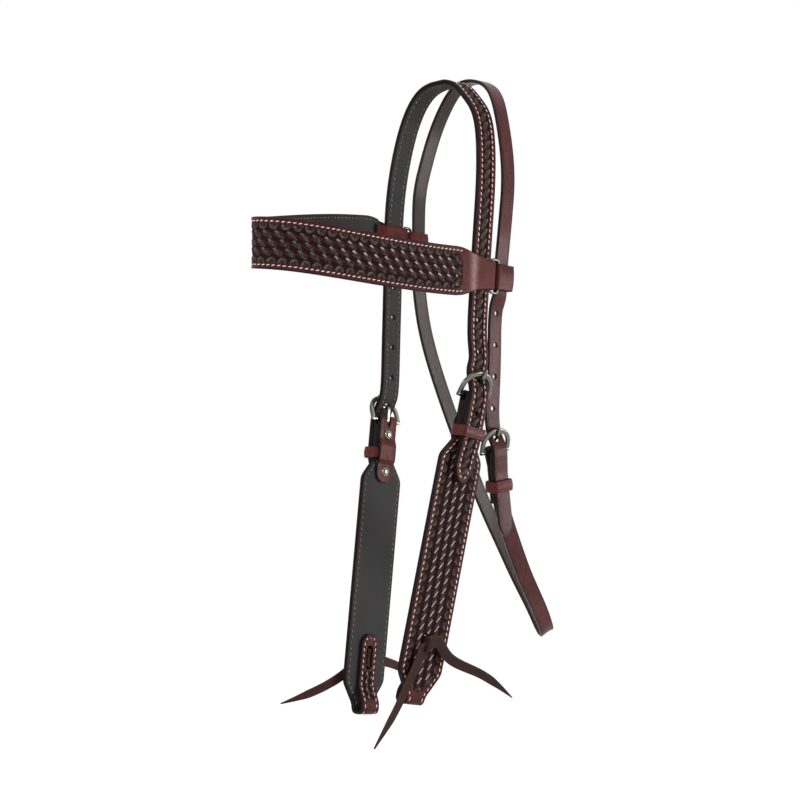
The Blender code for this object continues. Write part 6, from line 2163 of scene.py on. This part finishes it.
def seen_share(nodes, links):
    """1 where the eye, a reflection or glass looks, and 0 for the light that a surface gives off."""
    path = nodes.new("ShaderNodeLightPath")
    seen = path.outputs["Is Camera Ray"]
    for label in ("Is Glossy Ray", "Is Transmission Ray"):
        either = nodes.new("ShaderNodeMath")
        either.operation = "MAXIMUM"
        links.new(seen, either.inputs[0])
        links.new(path.outputs[label], either.inputs[1])
        seen = either.outputs[0]
    return seen


def backdrop():
    """A white surround to the eye and in reflections, and a softer one for the light that it gives."""
    world = bpy.data.worlds.new("studio")
    bpy.context.scene.world = world
    world.use_nodes = True
    nodes = world.node_tree.nodes
    links = world.node_tree.links
    back = nodes["Background"]
    back.inputs["Color"].default_value = (1, 1, 1, 1)
    strength = nodes.new("ShaderNodeMapRange")
    strength.inputs["To Min"].default_value = WORLD_FILL
    strength.inputs["To Max"].default_value = 1.0
    links.new(seen_share(nodes, links), strength.inputs["Value"])
    links.new(strength.outputs["Result"], back.inputs["Strength"])


def floor():
    """A wide pale floor under the straps; the eye sees it as white with the soft shadow on it."""
    mesh = bpy.data.meshes.new("floor")
    size = FLOOR_SIZE
    corners = [(-size, -size), (size, -size), (size, size), (-size, size)]
    mesh.from_pydata([(x, y, FLOOR_LEVEL) for x, y in corners], [], [(0, 1, 2, 3)])
    obj = linked("floor", mesh)
    shader = Shader("floor_paper")
    shader.set(Base_Color=FLOOR_TONE, Roughness=0.9, Specular_IOR_Level=0.1)
    seen = seen_share(shader.nodes, shader.links)
    glow = shader.nodes.new("ShaderNodeEmission")
    glow.inputs["Strength"].default_value = FLOOR_SHINE
    blend = shader.nodes.new("ShaderNodeMixShader")
    shader.link(shader.spread(seen, 0, 1, 0, FLOOR_GLOW), blend.inputs["Fac"])
    shader.link(shader.out.outputs[0], blend.inputs[1])
    shader.link(glow.outputs[0], blend.inputs[2])
    shader.link(blend.outputs[0], shader.nodes["Material Output"].inputs["Surface"])
    mesh.materials.append(shader.surface)


def aimed(name, data, azimuth, distance, height=0.0):
    """A lamp or camera round the object, aimed at its middle."""
    obj = linked(name, data)
    angle = math.radians(azimuth)
    obj.location = VIEW_TARGET + Vector((math.sin(angle), -math.cos(angle), 0)) * distance
    obj.location.z += height
    obj.rotation_euler = (VIEW_TARGET - obj.location).to_track_quat("-Z", "Y").to_euler()
    return obj


def lamp(name, azimuth, height, distance, width, tall, power):
    """A soft box with its size and power."""
    data = bpy.data.lights.new(name, "AREA")
    data.shape = "RECTANGLE"
    data.size = width
    data.size_y = tall
    data.energy = power
    aimed(name, data, azimuth, distance, height)


def camera():
    """The photograph's own view."""
    data = bpy.data.cameras.new("photo_view")
    data.sensor_width = VIEW_SENSOR
    data.lens = VIEW_LENS
    obj = aimed("photo_view", data, VIEW_AZIMUTH, VIEW_DISTANCE)
    bpy.context.scene.camera = obj


dress_all()
backdrop()
floor()
for settings in LAMPS:
    lamp(*settings)
camera()
bpy.context.scene.view_settings.view_transform = "Standard"
